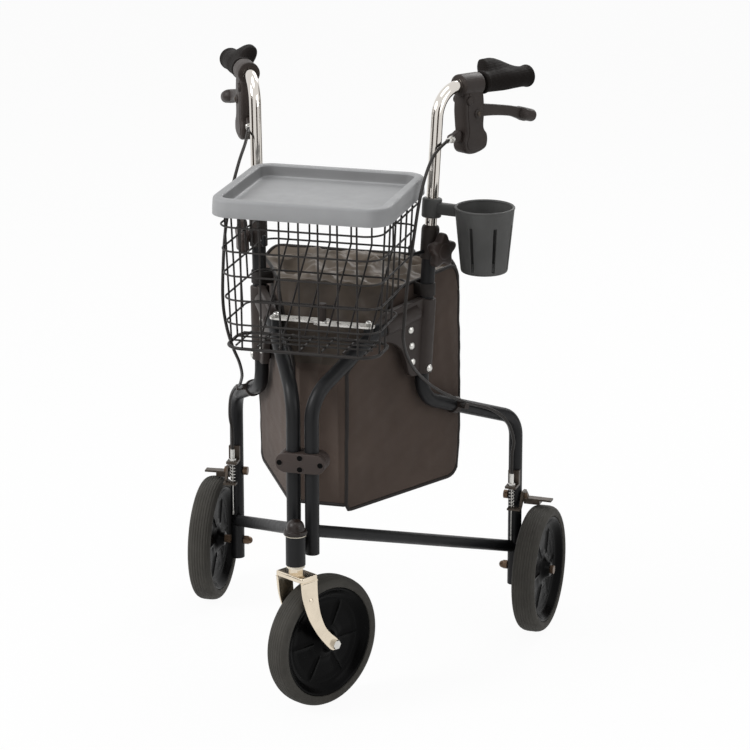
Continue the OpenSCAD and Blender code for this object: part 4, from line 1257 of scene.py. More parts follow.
    def _walls(self) -> np.ndarray:
        """Loft the walls: an outline at each height, moved by sag, pleats and creases.

        Returns:
            A grid of points in millimetres, rows upward, columns round the bag from the front left edge.
        """
        height = np.linspace(self.floor_z, self.mouth_z, self.rows)
        plan = self._plan(height)
        along = unit(np.roll(plan, -1, 1) - np.roll(plan, 1, 1))
        outward = np.stack([along[..., 1], -along[..., 0]], -1)
        share = np.clip((height - self.floor_z) / (self.mouth_z - self.floor_z), 0, 1)[:, None]
        hood = np.clip((height - self.shoulder_z + self.hood_early) / self.hood_fade, 0, 1)[:, None]
        high = np.clip((height - self.rise_z) / (self.mouth_z - self.rise_z), 0, 1)[:, None]
        rise = self.rise * np.clip((plan[..., 1] - self.shaded_slack_y[-1]) / self.rise_y, 0, 1) * high
        z = height[:, None] + rise + self._rounding(height)
        points = np.concatenate([plan, z[..., None]], -1)
        weights = self._weights()
        belly = np.sin(np.pi * share**0.8)
        belly = belly * (self.side_belly * weights["side"] + self.back_belly * weights["back"])
        pleats = 0.5 - np.abs(np.sin(np.pi * plan[..., 0] / self.pleat))
        pleats = self.pleat_depth * pleats * weights["front"]
        pleats = pleats * np.clip(share * 5, 0, 1) * (1 - hood)
        broad, fine = self.soft_depth
        soft = broad * ripple(points * np.array([1, 1, 0.45]), 95.0, 3) + fine * ripple(points, 34.0, 5)
        fold = (1 - np.abs(ripple(points * np.array([1.0, 0.7, 0.8]), 58.0, 11))) * self.fold_depth
        calm = np.clip((self.mouth_z - height) / self.calm, 0.3, 1)[:, None]
        crumple = (fold + self.crease_depth * ripple(points, 22.0, 17)) * hood * calm * weights["front"]
        move = belly + pleats + soft * np.clip(share * 8, 0, 1) - crumple * 0.8
        points[..., :2] += outward * move[..., None]
        points[..., 2] += crumple * 0.5
        return points + np.array([0.0, PLAN.post_y, PLAN.lift])

    def _weights(self) -> dict[str, np.ndarray]:
        """Share of each column in the front, side and back panels, softened at the corners.

        Returns:
            One row of shares for each kind of panel.
        """
        marks = np.repeat(np.arange(len(self.columns)), self.columns)
        names = {"front": (0,), "side": (1, 5), "back": (3,)}
        weights = {}
        for name, kinds in names.items():
            mark = np.isin(marks, kinds).astype(float)
            for _ in range(self.panel_passes):
                mark = 0.5 * mark + 0.25 * (np.roll(mark, 1) + np.roll(mark, -1))
            weights[name] = mark[None, :]
        return weights

    def _floor(self, outline: np.ndarray) -> np.ndarray:
        """Bottom panel: the lowest outline drawn in to its middle, sagging as one minus the square.

        Args:
            outline: The walls' lowest row.

        Returns:
            Rows from the middle outward.
        """
        share = np.linspace(0.03, 0.985, self.floor_rows)[:, None, None]
        middle = outline.mean(0)
        rows = middle + (outline - middle) * share
        rows[..., 2] -= self.floor_sag * (1 - share[..., 0] ** 2)
        return rows

    def _lid(self, rim: np.ndarray) -> np.ndarray:
        """Gathered top: the rim drawn in to its middle, with folds where a random height is near zero.

        Args:
            rim: The walls' highest row.

        Returns:
            Rows from the rim inward.
        """
        share = np.linspace(0.985, 0.02, self.lid_rows)[:, None, None]
        middle = rim.mean(0) + np.array(self.lid_peak)
        rows = middle + (rim - middle) * share
        inside = np.clip((1 - share[..., 0]) * 6, 0, 1)
        fold = self.lid_fold * (1 - np.abs(ripple(rows * np.array([0.7, 1.0, 0.6]), 52.0, 23)))
        rows[..., 2] += inside * (fold - self.lid_drop + self.lid_crease * ripple(rows, 21.0, 29))
        return rows

    def _paint(self, bag: bpy.types.Object) -> None:
        """Give the gathered top a lighter copy of the bag cloth as painted light from above, and the slack
        front above the shoulder a darker copy as painted shade.

        Args:
            bag: The bag's object.
        """
        bag.data.materials.append(FINISH.hood.material())
        bag.data.materials.append(FINISH.shaded_slack.material())
        height = np.linspace(self.floor_z, self.mouth_z, self.rows)
        total = self.floor_rows + self.rows + self.lid_rows - 1
        cloth = np.zeros((total, sum(self.columns)), np.int32)
        walls = slice(self.floor_rows, self.floor_rows + self.rows)
        # Painted shade: the darker slack copy on the front columns above the shoulder.
        cloth[walls, :self.columns[0]] = 2 * (height > self.shoulder_z)[:, None]
        # Painted light: the lighter hood copy on the top wall row and the gathered top.
        cloth[self.floor_rows + self.rows - 1:] = 1
        bag.data.polygons.foreach_set("material_index", np.append(cloth.ravel(), [0, 1]).astype(np.int32))

    def _piping(self, walls: np.ndarray) -> None:
        """Sew a round cord along the seams: the front and rear edges, the foot and the rim behind the front.

        Args:
            walls: The walls' grid.
        """
        front = self.columns[0]
        seams = np.cumsum((0, *self.columns[:-1]))
        cord = Shell("bag_piping")
        for column in (seams[0], seams[1], seams[2], seams[5]):
            cord.add(tube_grid(walls[::2, column] * MM, self.piping_r * MM, 10))
        foot = np.vstack([walls[0], walls[0][:1]])
        rim = np.vstack([walls[-1][front:], walls[-1][:1]])
        for line in (foot, rim):
            cord.add(tube_grid(line[::2] * MM, self.piping_r * MM, 10))
        self._finish(cord.build(FINISH.piping), "bag_fabric")

    def _strap(self, hand: Hand) -> None:
        """Loop webbing round the upright: a flat section carried along an arc with two straight ends.

        Args:
            hand: The side.
        """
        middle_u = PLAN.upright_u(self.strap_z)
        turn = np.linspace(-0.62 * np.pi, 0.62 * np.pi, 30)
        arc = polar_outline(turn, self.strap_loop) + np.array([0.0, middle_u])
        ends = np.array([(-self.inward - 1.0, middle_u - 9.0), (-self.inward - 1.0, middle_u + 9.0)])
        path = np.vstack([ends[:1], arc, ends[1:]])
        along = unit(np.gradient(path, axis=0))
        normal = np.stack([along[:, 1], -along[:, 0]], 1)
        section = rounded_outline(2 * self.strap_thin, 2 * self.strap_half, 0.7, 3)
        spots = path[:, None] + normal[:, None] * section[None, :, :1]
        heights = self.strap_z + np.broadcast_to(section[None, :, 1], spots.shape[:2])
        strap = Shell(f"{hand.word}_bag_strap").add(PLAN.side(hand, spots[..., 0], spots[..., 1], heights))
        settle(strap.build(FINISH.piping), f"{hand.word}_frame", "bag_fabric")


@dataclass
class Tray:
    """Grey tray: one moulded profile carried round a rounded rectangle."""

    width: float = 277.0
    front: float = -28.5
    back: float = 221.5
    corner: float = 34.0
    least_corner: float = 6.0
    corner_steps: int = 14
    top: float = 789.9
    height: float = 27.0
    recess: float = 18.0
    # Insets between which the recess' walls carry the painted shade.
    shade_inset: tuple[float, float] = (15.5, 19.0)

    def build(self) -> None:
        """Make the tray from rings of inset and height, capped at the floor's two faces.

        The rings between the rim and the recess' floor get a darker copy of the tray plastic, painted shade
        for the recess' walls.
        """
        profile = self._profile()
        middle = (self.front + self.back) / 2 + PLAN.post_y
        rings = []
        for inset, height in profile:
            outline = rounded_outline(self.width - 2 * inset, self.back - self.front - 2 * inset,
                                      max(self.corner - inset, self.least_corner), self.corner_steps)
            rings.append(np.column_stack([outline[:, 0], outline[:, 1] + middle,
                                          np.full(len(outline), self.top + PLAN.lift + height)]))
        piece = Shell("tray_moulding").add(np.array(rings) * MM).build(FINISH.tray, 50.0)
        # Painted shade: the darker copy of the tray plastic goes on the recess' walls.
        piece.data.materials.append(FINISH.tray_wall.material())
        near, far = self.shade_inset
        start, end = profile[:-1], profile[1:]
        wall = (start[:, 0] > near) & (end[:, 0] < far) & (start[:, 1] > -self.recess)
        shade = np.repeat(wall.astype(np.int32), len(rings[0]))
        piece.data.polygons.foreach_set("material_index", np.append(shade, [0, 0]).astype(np.int32))
        settle(piece, "tray", "tray_plastic", "tray")

    def _profile(self) -> np.ndarray:
        """Section of the moulding: from under the floor, round the skirt and the rim, to the floor's top.

        Returns:
            Rows of inset and height.
        """
        drop, floor = self.height, self.recess
        return np.array([
            (27.0, -floor - 3.0), (16.8, -floor - 3.0), (15.2, -floor - 1.0), (14.0, -8.0), (13.6, -3.4),
            (12.8, -3.0), (4.2, -3.0), (3.4, -3.6), (3.0, -8.0), (2.8, -drop + 0.4), (2.2, -drop),
            (0.5, -drop), (0.0, -drop + 0.6), (0.35, -14.0), (1.0, -4.6), (1.5, -2.2), (2.6, -0.8),
            (4.2, -0.1), (6.0, 0.0), (12.6, 0.0), (14.2, -0.15), (15.2, -0.8), (15.7, -2.2), (16.4, -6.0),
            (17.6, -floor + 4.4), (18.6, -floor + 1.8), (20.4, -floor + 0.4), (23.0, -floor),
            (27.0, -floor)])


@dataclass
class Handles:
    """Soft grips, brake housings and levers on the chromed tubes."""

    reach: float = 205.0
    grip_length: float = 116.0
    grip_sides: int = 96
    bore: float = 9.35
    wing: float = 22.0
    wing_turn: float = 2.25
    wing_spread: float = 0.52
    housing_half: float = 13.0
    panel_inset: float = 6.5
    panel_rise: float = 0.9
    lever_half: float = 5.6
    pivot_u: float = 350.0
    pivot_drop: float = 48.0
    paddle_u: float = 474.0
    paddle_drop: float = 70.0
    paddle_tilt: float = 18.0

    def build(self, hand: Hand) -> None:
        """Make one side's grip, housing and lever.

        Args:
            hand: The side.
        """
        self._grip(hand)
        self._housing(hand)
        self._fittings(hand)
        self._lever(hand)

    def _grip(self, hand: Hand) -> None:
        """Loft the grip: the radius follows the length, and a bell over one side makes the palm wing.

        Args:
            hand: The side.
        """
        start = self.reach - self.grip_length + 4
        curve = smooth_path(np.array([
            (0.0, 11.0), (0.0, 15.5), (1.2, 17.4), (4.0, 18.0), (7.4, 17.6), (10.0, 16.4), (26.0, 16.6),
            (52.0, 17.2), (76.0, 16.4), (92.0, 16.0), (100.0, 16.4), (105.0, 17.4), (107.6, 17.6),
            (109.2, 16.8), (110.0, 14.6), (110.0, 9.4)]), 6)
        along, radius = curve[:, :1], curve[:, 1:]
        angle = full_turn(self.grip_sides)
        rise = np.clip((along - 9.0) / 14.0, 0, 1)
        fall = np.clip((100.0 - along) / 62.0, 0, 1)
        bell = rise**2 * (3 - 2 * rise) * fall**2 * (3 - 2 * fall)
        off = (angle - self.wing_turn + np.pi) % (2 * np.pi) - np.pi
        radius = radius + self.wing * bell * np.exp(-((off / self.wing_spread) ** 2))
        grid = PLAN.grip(hand, radius * np.cos(angle), start + along, radius * np.sin(angle))
        inside = PLAN.grip(hand, self.bore * np.cos(angle), start + 1.0, self.bore * np.sin(angle))
        end = PLAN.grip(hand, 2.0 * np.cos(angle), start + 109.6, 2.0 * np.sin(angle))
        rubber = Shell(f"{hand.word}_grip_rubber").add(grid, capped=False)
        rubber.add(np.stack([inside, grid[0]]), capped=False)
        rubber.add(np.stack([grid[-1], end]), capped=False)
        settle(rubber.build(FINISH.grip, 50.0), f"{hand.word}_handle", "grip_rubber",
               f"{hand.word}_hand_grip")
        profile = np.array([
            (0.2, 0.0), (10.4, 0.0), (11.6, 0.5), (12.0, 1.3), (11.4, 2.1), (8.0, 2.6), (0.2, 2.7)])
        centre, ahead = PLAN.grip_axis(hand, start + 109.2)
        cap = Shell(f"{hand.word}_grip_cap").add(revolve_grid(profile, centre, ahead, 48))
        settle(cap.build(FINISH.cap), f"{hand.word}_handle", "grip_rubber")

    def _place(self, hand: Hand) -> Place:
        """Read an outline as distance along the frame and height under the handle's corner."""
        return lambda u, z, o: PLAN.side(hand, o, u, PLAN.handle_top + z)

    def _housing(self, hand: Hand) -> None:
        """Mould the housing: a rounded body with raised panels, a clamp ring, the cable's nose and bosses.

        Args:
            hand: The side.
        """
        place = self._place(hand)
        half = self.housing_half
        body = smooth_path(np.array([
            (326, -12), (335, -7), (352, -7), (363, -12), (367, -26), (368, -50), (367, -68), (369, -76),
            (375, -84), (376, -96), (371, -106), (352, -111), (334, -110), (324, -103), (322, -90),
            (326, -78), (325, -66), (323, -44), (324, -26)]), 6, closed=True)
        shell = Shell(f"{hand.word}_housing_body").add(slab_grid(body, -half, half, 4.5, place, 5))
        panel = inset_outline(body, self.panel_inset)
        for low, high in ((-half - self.panel_rise, 1.0 - half), (half - 1.0, half + self.panel_rise)):
            shell.add(slab_grid(panel, low, high, 0.8, place, 3))
        clamp = np.array([
            (12.0, 44.5), (16.2, 44.5), (17.4, 45.6), (17.6, 48.0), (17.6, 84.0), (17.2, 86.6),
            (15.8, 88.0), (12.0, 88.0), (self.bore, 87.2), (self.bore, 45.2)])
        shell.add(revolve_grid(clamp, *PLAN.grip_axis(hand, 0.0), 56), ring=True)
        nose = smooth_path(np.array([
            (302, -78), (312, -75), (322, -72), (324, -90), (312, -87), (302, -86)]), 4, closed=True)
        shell.add(slab_grid(nose, -6.0, 6.0, 2.5, place, 4))
        boss = np.array([(0.3, 16.6), (5.6, 16.6), (6.6, 16.1), (7.2, 15.0), (7.4, 12.0), (0.3, 12.0)])
        for u, drop in ((self.pivot_u, self.pivot_drop), (333.0, 26.0)):
            spot = PLAN.side(hand, 0.0, u, PLAN.handle_top - drop)
            for way in (PLAN.outward(hand), -PLAN.outward(hand)):
                shell.add(revolve_grid(boss, spot, way, 32))
        settle(shell.build(FINISH.moulded), f"{hand.word}_handle", "moulded_black",
               f"{hand.word}_brake_housing")

    def _fittings(self, hand: Hand) -> None:
        """Turn the cable's steel ferrule at the nose, and the bolt heads at the lever's pivot.

        Args:
            hand: The side.
        """
        tip = PLAN.side(hand, 5.0, 303.0, PLAN.handle_top - 82.0)
        far = PLAN.side(hand, 6.6, 285.0, PLAN.handle_top - 83.0)
        steps = np.array([
            (2.6, -1.0), (5.4, -1.0), (5.6, 0.0), (5.6, 4.0), (5.2, 4.4), (3.9, 4.6), (3.9, 13.0),
            (3.4, 13.6), (2.6, 13.6)])
        ferrule = Shell(f"{hand.word}_cable_ferrule").add(revolve_grid(steps, tip, far - tip, 24), ring=True)
        settle(ferrule.build(FINISH.steel, 30.0), f"{hand.word}_handle", "bright_steel")
        head = np.array([(0.2, 16.4), (3.4, 16.4), (4.0, 16.9), (3.6, 18.2), (2.0, 18.9), (0.2, 19.0)])
        spot = PLAN.side(hand, 0.0, self.pivot_u, PLAN.handle_top - self.pivot_drop)
        bolts = Shell(f"{hand.word}_housing_bolts")
        for way in (PLAN.outward(hand), -PLAN.outward(hand)):
            bolts.add(revolve_grid(head, spot, way, 28))
        settle(bolts.build(FINISH.dark_steel), f"{hand.word}_handle", "bright_steel")

    def _lever(self, hand: Hand) -> None:
        """Mould the lever: a curved blade that thickens at its pivot and ends in a round paddle.

        Args:
            hand: The side.
        """
        blade = smooth_path(np.array([
            (342, -47), (346, -40), (354, -37.5), (366, -37), (400, -43.5), (436, -51), (458, -56.5),
            (476, -61), (486, -68), (484, -78), (470, -81), (456, -75), (436, -67.5), (402, -61),
            (370, -57.5), (354, -58), (345, -54)]), 6, closed=True)
        shell = Shell(f"{hand.word}_lever_blade")
        shell.add(slab_grid(blade, -self.lever_half, self.lever_half, 2.4, self._place(hand), 5))

        def on_paddle(x: np.ndarray, y: np.ndarray, h: np.ndarray) -> np.ndarray:
            """Lay the paddle's outline across the blade, tilted down at the back."""
            u, z = turned(y, h, -self.paddle_tilt)
            return PLAN.side(hand, x, self.paddle_u + u, PLAN.handle_top - self.paddle_drop + z)

        shell.add(slab_grid(rounded_outline(32, 40, 14.5, 12), -10.4, 9.4, 9.2, on_paddle, 9))
        settle(shell.build(FINISH.moulded), f"{hand.word}_lever", "moulded_black",
               f"{hand.word}_brake_lever")


@dataclass
class Knobs:
    """Star knobs that clamp the handle tubes."""

    height: float = 670.0
    out: float = 18.0
    thick: float = 16.0
    radius: float = 28.0
    lobes: int = 5
    lobe_share: float = 0.155
    disc_r: float = 13.0
    neck_r: float = 9.5
    sides: int = 160

    def build(self, hand: Hand) -> None:
        """Make one knob: a star whose radius swings with a cosine, a raised disc and a neck.

        Args:
            hand: The side.
        """
        middle_u = PLAN.upright_u(self.height)

        def place(x: np.ndarray, y: np.ndarray, h: np.ndarray) -> np.ndarray:
            """Stand the outline upright beside the tube: x back, y up, h outward."""
            u, z = turned(x, y, -PLAN.lean)
            return PLAN.side(hand, h, middle_u + u, self.height + z)

        angle = full_turn(self.sides)
        swing = np.cos(self.lobes * angle - np.pi / 2)
        star = polar_outline(angle, self.radius * (1 - self.lobe_share + self.lobe_share * swing))
        face = self.out + self.thick
        shell = Shell(f"{hand.word}_knob_star")
        shell.add(slab_grid(star, self.out, face - 1.0, 4.6, place, 7))
        shell.add(slab_grid(polar_outline(angle, self.disc_r), self.out + 6, face, 1.6, place, 4))
        shell.add(slab_grid(polar_outline(angle, self.neck_r), self.out - 0.3, self.out + 4, 0.2, place, 2))
        settle(shell.build(FINISH.block), f"{hand.word}_knob", "moulded_black", f"{hand.word}_star_knob")


@dataclass
class Caster:
    """Chromed fork of two pressed legs and a crown, with its lock nut and stem, in heights over the floor."""

    inner: float = 25.0
    thick: float = 4.4
    rivet_x: float = 4.0
    rivet_drop: float = 36.0
    crown: float = 222.0
    crown_skirt: float = 4.6
    crown_thick: float = 4.0
    crown_x: tuple[float, float] = (-15.0, 19.0)
    stem_r: float = 6.0
    stem_top: float = 284.6
    nut_r: float = 11.0
    nut_top: float = 234.4

    def build(self) -> None:
        """Make the fork as one piece."""
        shell = Shell("fork_pressing")
        self._legs(shell)
        self._crown(shell)
        settle(shell.build(FINISH.pressing, 35.0), "caster", "chrome", "caster_fork")

    def _legs(self, shell: Shell) -> None:
        """Two curved legs with round edges that narrow to the axle, each with a rivet near its top.

        Args:
            shell: The fork's piece.
        """
        top = self.crown - self.crown_skirt + 1.0
        outline = smooth_path(np.array([
            (-14.5, top), (-13.2, 204.0), (-10.6, 188.0), (-4.6, 169.0), (4.0, 150.0), (20.0, 125.0),
            (36.0, 106.0), (46.0, 96.0), (52.4, 93.2), (58.8, 94.4), (63.0, 99.2), (63.4, 105.4),
            (58.6, 112.4), (46.4, 123.6), (35.2, 137.0), (26.0, 158.0), (21.0, 180.0), (19.0, 200.0),
            (18.5, top)]), 6)
        dome = np.array([(0.2, 1.5), (2.2, 1.3), (3.8, 0.7), (4.4, 0.0), (4.4, -0.8), (0.2, -0.8)])
        for side in (-1.0, 1.0):
            face = side * (self.inner + self.thick)
            low, high = sorted((side * self.inner, face))
            shell.add(slab_grid(outline, low, high, 2.1, self._upright, 6))
            spot = PLAN.caster(self.rivet_x, face, self.crown - self.rivet_drop)
            out = PLAN.caster(self.rivet_x, face + side, self.crown - self.rivet_drop) - spot
            shell.add(revolve_grid(dome, spot, out, 24))

    @staticmethod
    def _upright(x: np.ndarray, z: np.ndarray, y: np.ndarray) -> np.ndarray:
        """Stand an outline of trail and height upright in the caster's frame."""
        return PLAN.caster(x, y, z)

    def _crown(self, shell: Shell) -> None:
        """Thick crown plate with round edges, the stem and a six-sided lock nut.

        Args:
            shell: The fork's piece.
        """
        front, back = self.crown_x
        plate = rounded_outline(back - front, 2 * (self.inner + self.thick), 4.0, 6)
        plate = plate + np.array([(front + back) / 2, 0.0])
        low, high = self.crown - self.crown_skirt, self.crown + self.crown_thick
        shell.add(slab_grid(plate, low, high, 2.4, PLAN.caster, 5))
        post = np.array([
            (0.2, self.crown), (self.stem_r, self.crown), (self.stem_r, self.stem_top - 0.6),
            (self.stem_r - 0.6, self.stem_top), (0.2, self.stem_top)])
        shell.add(revolve_grid(post, PLAN.caster(0.0, 0.0, 0.0), UP, 32))
        corners = polar_outline(full_turn(6), self.nut_r)
        sides = np.concatenate([np.linspace(a, b, 6, endpoint=False)
                                for a, b in zip(corners, np.roll(corners, -1, 0))])
        shell.add(slab_grid(sides, high - 0.5, self.nut_top, 0.8, PLAN.caster, 3))


@dataclass
class Joinery:
    """Moulded brackets, collars, rivets and the hinge block that join the tubes."""

    bracket_half: float = 6.0
    bracket_low: float = 474.0
    bracket_high: float = 592.0
    sleeve_r: float = 15.0
    rail_sleeve_r: float = 14.0
    sleeve_edge: float = 2.4
    tube_r: float = 11.05
    rail: tuple[tuple[float, float], ...] = ((153.8, 562.3), (227.0, 574.5))
    rivets: tuple[tuple[float, float], ...] = ((211.0, 549.0), (213.0, 523.0), (215.0, 497.0))
    low_rivet_z: float = 483.0
    brace_u: float = 123.0
    left_brace_top: float = 574.3
    right_brace_top: float = 570.9
    nut_r: float = 6.0
    collar_z: float = 654.0
    knob_z: float = 670.0
    block_z: float = 385.0
    block_half: float = 39.0
    block_h: float = 31.0
    block_depth: float = 16.0
    block_gap: float = 0.3
    screw_out: float = 32.0
    screw_up: float = 9.0
    head_top: float = 288.05

    def build(self, hand: Hand) -> None:
        """Make one side's bracket, rivets and collar.

        Args:
            hand: The side.
        """
        self._bracket(hand)
        self._rivets(hand)
        self._collar(hand)

    def _bracket(self, hand: Hand) -> None:
        """Mould the shield between the upper rail and the upright, with a sleeve on each.

        Args:
            hand: The side.
        """
        plate = smooth_path(np.array([
            (138, 546), (143, 569), (156, 583), (180, 589), (214, 592), (246, 592), (247, 560), (245, 520),
            (243, 480), (232, 473), (214, 474), (206, 484), (200, 504), (188, 524), (166, 538)]), 6,
            closed=True)

        def place(u: np.ndarray, z: np.ndarray, o: np.ndarray) -> np.ndarray:
            """Stand the outline in the side frame's plane."""
            return PLAN.side(hand, o, u, z)

        shell = Shell(f"{hand.word}_bracket_shield")
        shell.add(slab_grid(plate, -self.bracket_half, self.bracket_half, 2.2, place, 4))
        foot, axis = PLAN.upright(hand, self.bracket_low)
        length = self.bracket_high - self.bracket_low
        section = sleeve_profile(length, self.sleeve_r, self.tube_r, self.sleeve_edge)
        shell.add(revolve_grid(section, foot, axis, 48), ring=True)
        ends = np.array(self.rail)
        start, stop = PLAN.side(hand, 0.0, ends[:, 0], ends[:, 1])
        length = float(np.linalg.norm(stop - start)) / MM
        section = sleeve_profile(length, self.rail_sleeve_r, self.tube_r + 0.05, self.sleeve_edge)
        shell.add(revolve_grid(section, start, stop - start, 48), ring=True)
        settle(shell.build(FINISH.moulded), f"{hand.word}_frame", "moulded_black",
               f"{hand.word}_side_bracket")

    def _rivets(self, hand: Hand) -> None:
        """Set domed rivet heads on the bracket, and the acorn nut over the brace's end.

        Args:
            hand: The side.
        """
        out = PLAN.outward(hand)
        dome = np.array([
            (0.2, 2.9), (2.4, 2.7), (4.4, 2.0), (5.7, 0.9), (6.0, 0.0), (5.9, -0.6), (2.4, -0.8),
            (2.4, -4.0), (0.2, -4.0)])
        shell = Shell(f"{hand.word}_rivet_heads")
        for u, z in self.rivets:
            shell.add(revolve_grid(dome, PLAN.side(hand, self.bracket_half, u, z), out, 28))
        low = PLAN.side(hand, self.sleeve_r, PLAN.upright_u(self.low_rivet_z), self.low_rivet_z)
        shell.add(revolve_grid(dome, low, out, 28))
        self._acorn(hand, shell)
        settle(shell.build(FINISH.steel, 35.0), f"{hand.word}_frame", "bright_steel", f"{hand.word}_rivets")

    def _acorn(self, hand: Hand, shell: Shell) -> None:
        """Stack the brace's bolt: a washer, a six-sided nut, its dome and the pin below.

        The nut's outline lies at the distance of its flats over the cosine of the angle from a flat's middle.

        Args:
            hand: The side.
            shell: The rivets' piece.
        """
        top = self.left_brace_top if hand is Hand.LEFT else self.right_brace_top
        spot = PLAN.side(hand, 0.0, self.brace_u, top)
        washer = np.array([(0.2, 3.05), (7.4, 3.05), (7.8, 3.3), (7.8, 3.8), (7.4, 4.1), (0.2, 4.1)])
        shell.add(revolve_grid(washer, spot, UP, 36))
        angle = full_turn(36)
        off = (angle + np.pi / 6) % (np.pi / 3) - np.pi / 6
        hexagon = polar_outline(angle, self.nut_r * math.cos(np.pi / 6) / np.cos(off))

        def lay(x: np.ndarray, y: np.ndarray, h: np.ndarray) -> np.ndarray:
            """Lay the nut's outline on the brace."""
            return spot + MM * np.stack([x, y, h], -1)

        shell.add(slab_grid(hexagon, 4.0, 6.4, 0.5, lay, 2))
        crown = np.array([(4.9, 6.3), (4.8, 7.0), (4.1, 8.4), (2.8, 9.3), (1.4, 9.7), (0.2, 9.8)])
        shell.add(revolve_grid(crown, spot, UP, 28))
        pin = np.array([(0.2, -10.0), (3.0, -10.0), (3.0, 3.0), (0.2, 3.0)])
        shell.add(revolve_grid(pin, spot, UP, 20))

    def _collar(self, hand: Hand) -> None:
        """Mould the collar on the upright's top: a sleeve with a lip, and the boss under the knob.

        Args:
            hand: The side.
        """
        foot, axis = PLAN.upright(hand, self.collar_z)
        section = np.array([
            (self.tube_r, 0.0), (13.2, 0.0), (14.0, 0.8), (14.0, 44.0), (13.8, 46.4), (13.0, 49.4),
            (11.6, 51.4), (10.4, 52.0), (9.5, 52.0), (9.5, 47.0), (self.tube_r, 47.0)])
        shell = Shell(f"{hand.word}_collar_sleeve").add(revolve_grid(section, foot, axis, 48), ring=True)
        boss = np.array([(3.4, 8.0), (9.4, 8.0), (9.4, 15.8), (8.8, 17.2), (8.0, 17.5), (3.4, 17.5)])
        spot, _ = PLAN.upright(hand, self.knob_z)
        shell.add(revolve_grid(boss, spot, PLAN.outward(hand), 36), ring=True)
        settle(shell.build(FINISH.moulded), f"{hand.word}_frame", "moulded_black",
               f"{hand.word}_tube_collar")

    def hinge(self) -> None:
        """Make the hinge block's halves with their sunk screws, and the domed head cap."""
        outline = rounded_outline(2 * self.block_half, self.block_h, self.block_h / 2 - 0.05, 16)
        middle = np.array([0.0, PLAN.post_y, self.block_z + PLAN.lift])
        gap, depth = self.block_gap, self.block_depth

        def place(x: np.ndarray, z: np.ndarray, y: np.ndarray) -> np.ndarray:
            """Stand the outline across the posts."""
            return MM * (np.stack([x, y, z], -1) + middle)

        for name, low, high in (("front", -depth, -gap), ("rear", gap, depth)):
            shell = Shell(f"hinge_{name}_half").add(slab_grid(outline, low, high, 1.6, place, 4))
            settle(shell.build(FINISH.block), "left_frame", "moulded_black", f"hinge_block_{name}")
        rims = Shell("hinge_recess_rims")
        screws = Shell("hinge_recesses")
        rim = np.array([(4.3, -0.5), (4.3, 0.4), (4.9, 0.7), (5.6, 0.4), (5.8, -0.5)])
        hole = np.array([(0.2, 0.25), (3.9, 0.25), (4.35, 0.1), (4.35, -1.0), (0.2, -1.0)])
        out, up = self.screw_out, self.screw_up
        for x, z in ((-out, 0.0), (0.0, up), (0.0, -up), (out, 0.0)):
            for side in (-1.0, 1.0):
                spot = MM * (middle + np.array([x, side * depth, z]))
                way = np.array([0.0, side, 0.0])
                rims.add(revolve_grid(rim, spot, way, 32), ring=True)
                screws.add(revolve_grid(hole, spot, way, 32))
        settle(rims.build(FINISH.block), "left_frame", "moulded_black")
        settle(screws.build(FINISH.hub), "left_frame", "brake_steel", "hinge_screws")
        self._cap()

    def _cap(self) -> None:
        """Turn the head tube's domed cap with its flange, and the pale ring under it."""
        dome = smooth_path(np.array([
            (0.2, 0.0), (16.8, 0.0), (17.6, 0.5), (17.9, 1.6), (17.9, 4.4), (17.4, 5.8), (16.0, 6.5),
            (14.4, 6.9), (13.9, 9.0), (13.4, 13.0), (11.2, 17.8), (7.0, 21.2), (0.2, 22.6)]), 5)
        spot = MM * np.array([0.0, PLAN.post_y + PLAN.head_y, self.head_top])
        cap = Shell("head_cap_dome").add(revolve_grid(dome, spot, UP, 56))
        settle(cap.build(FINISH.dome), "left_frame", "moulded_black", "head_cap")
        band = np.array([(15.2, -1.9), (16.8, -1.8), (17.2, -1.2), (17.2, -0.5), (16.8, 0.0), (15.2, 0.0)])
        ring = Shell("head_ring").add(revolve_grid(band, spot, UP, 56), ring=True)
        settle(ring.build(FINISH.bush), "left_frame", "bush_plastic")


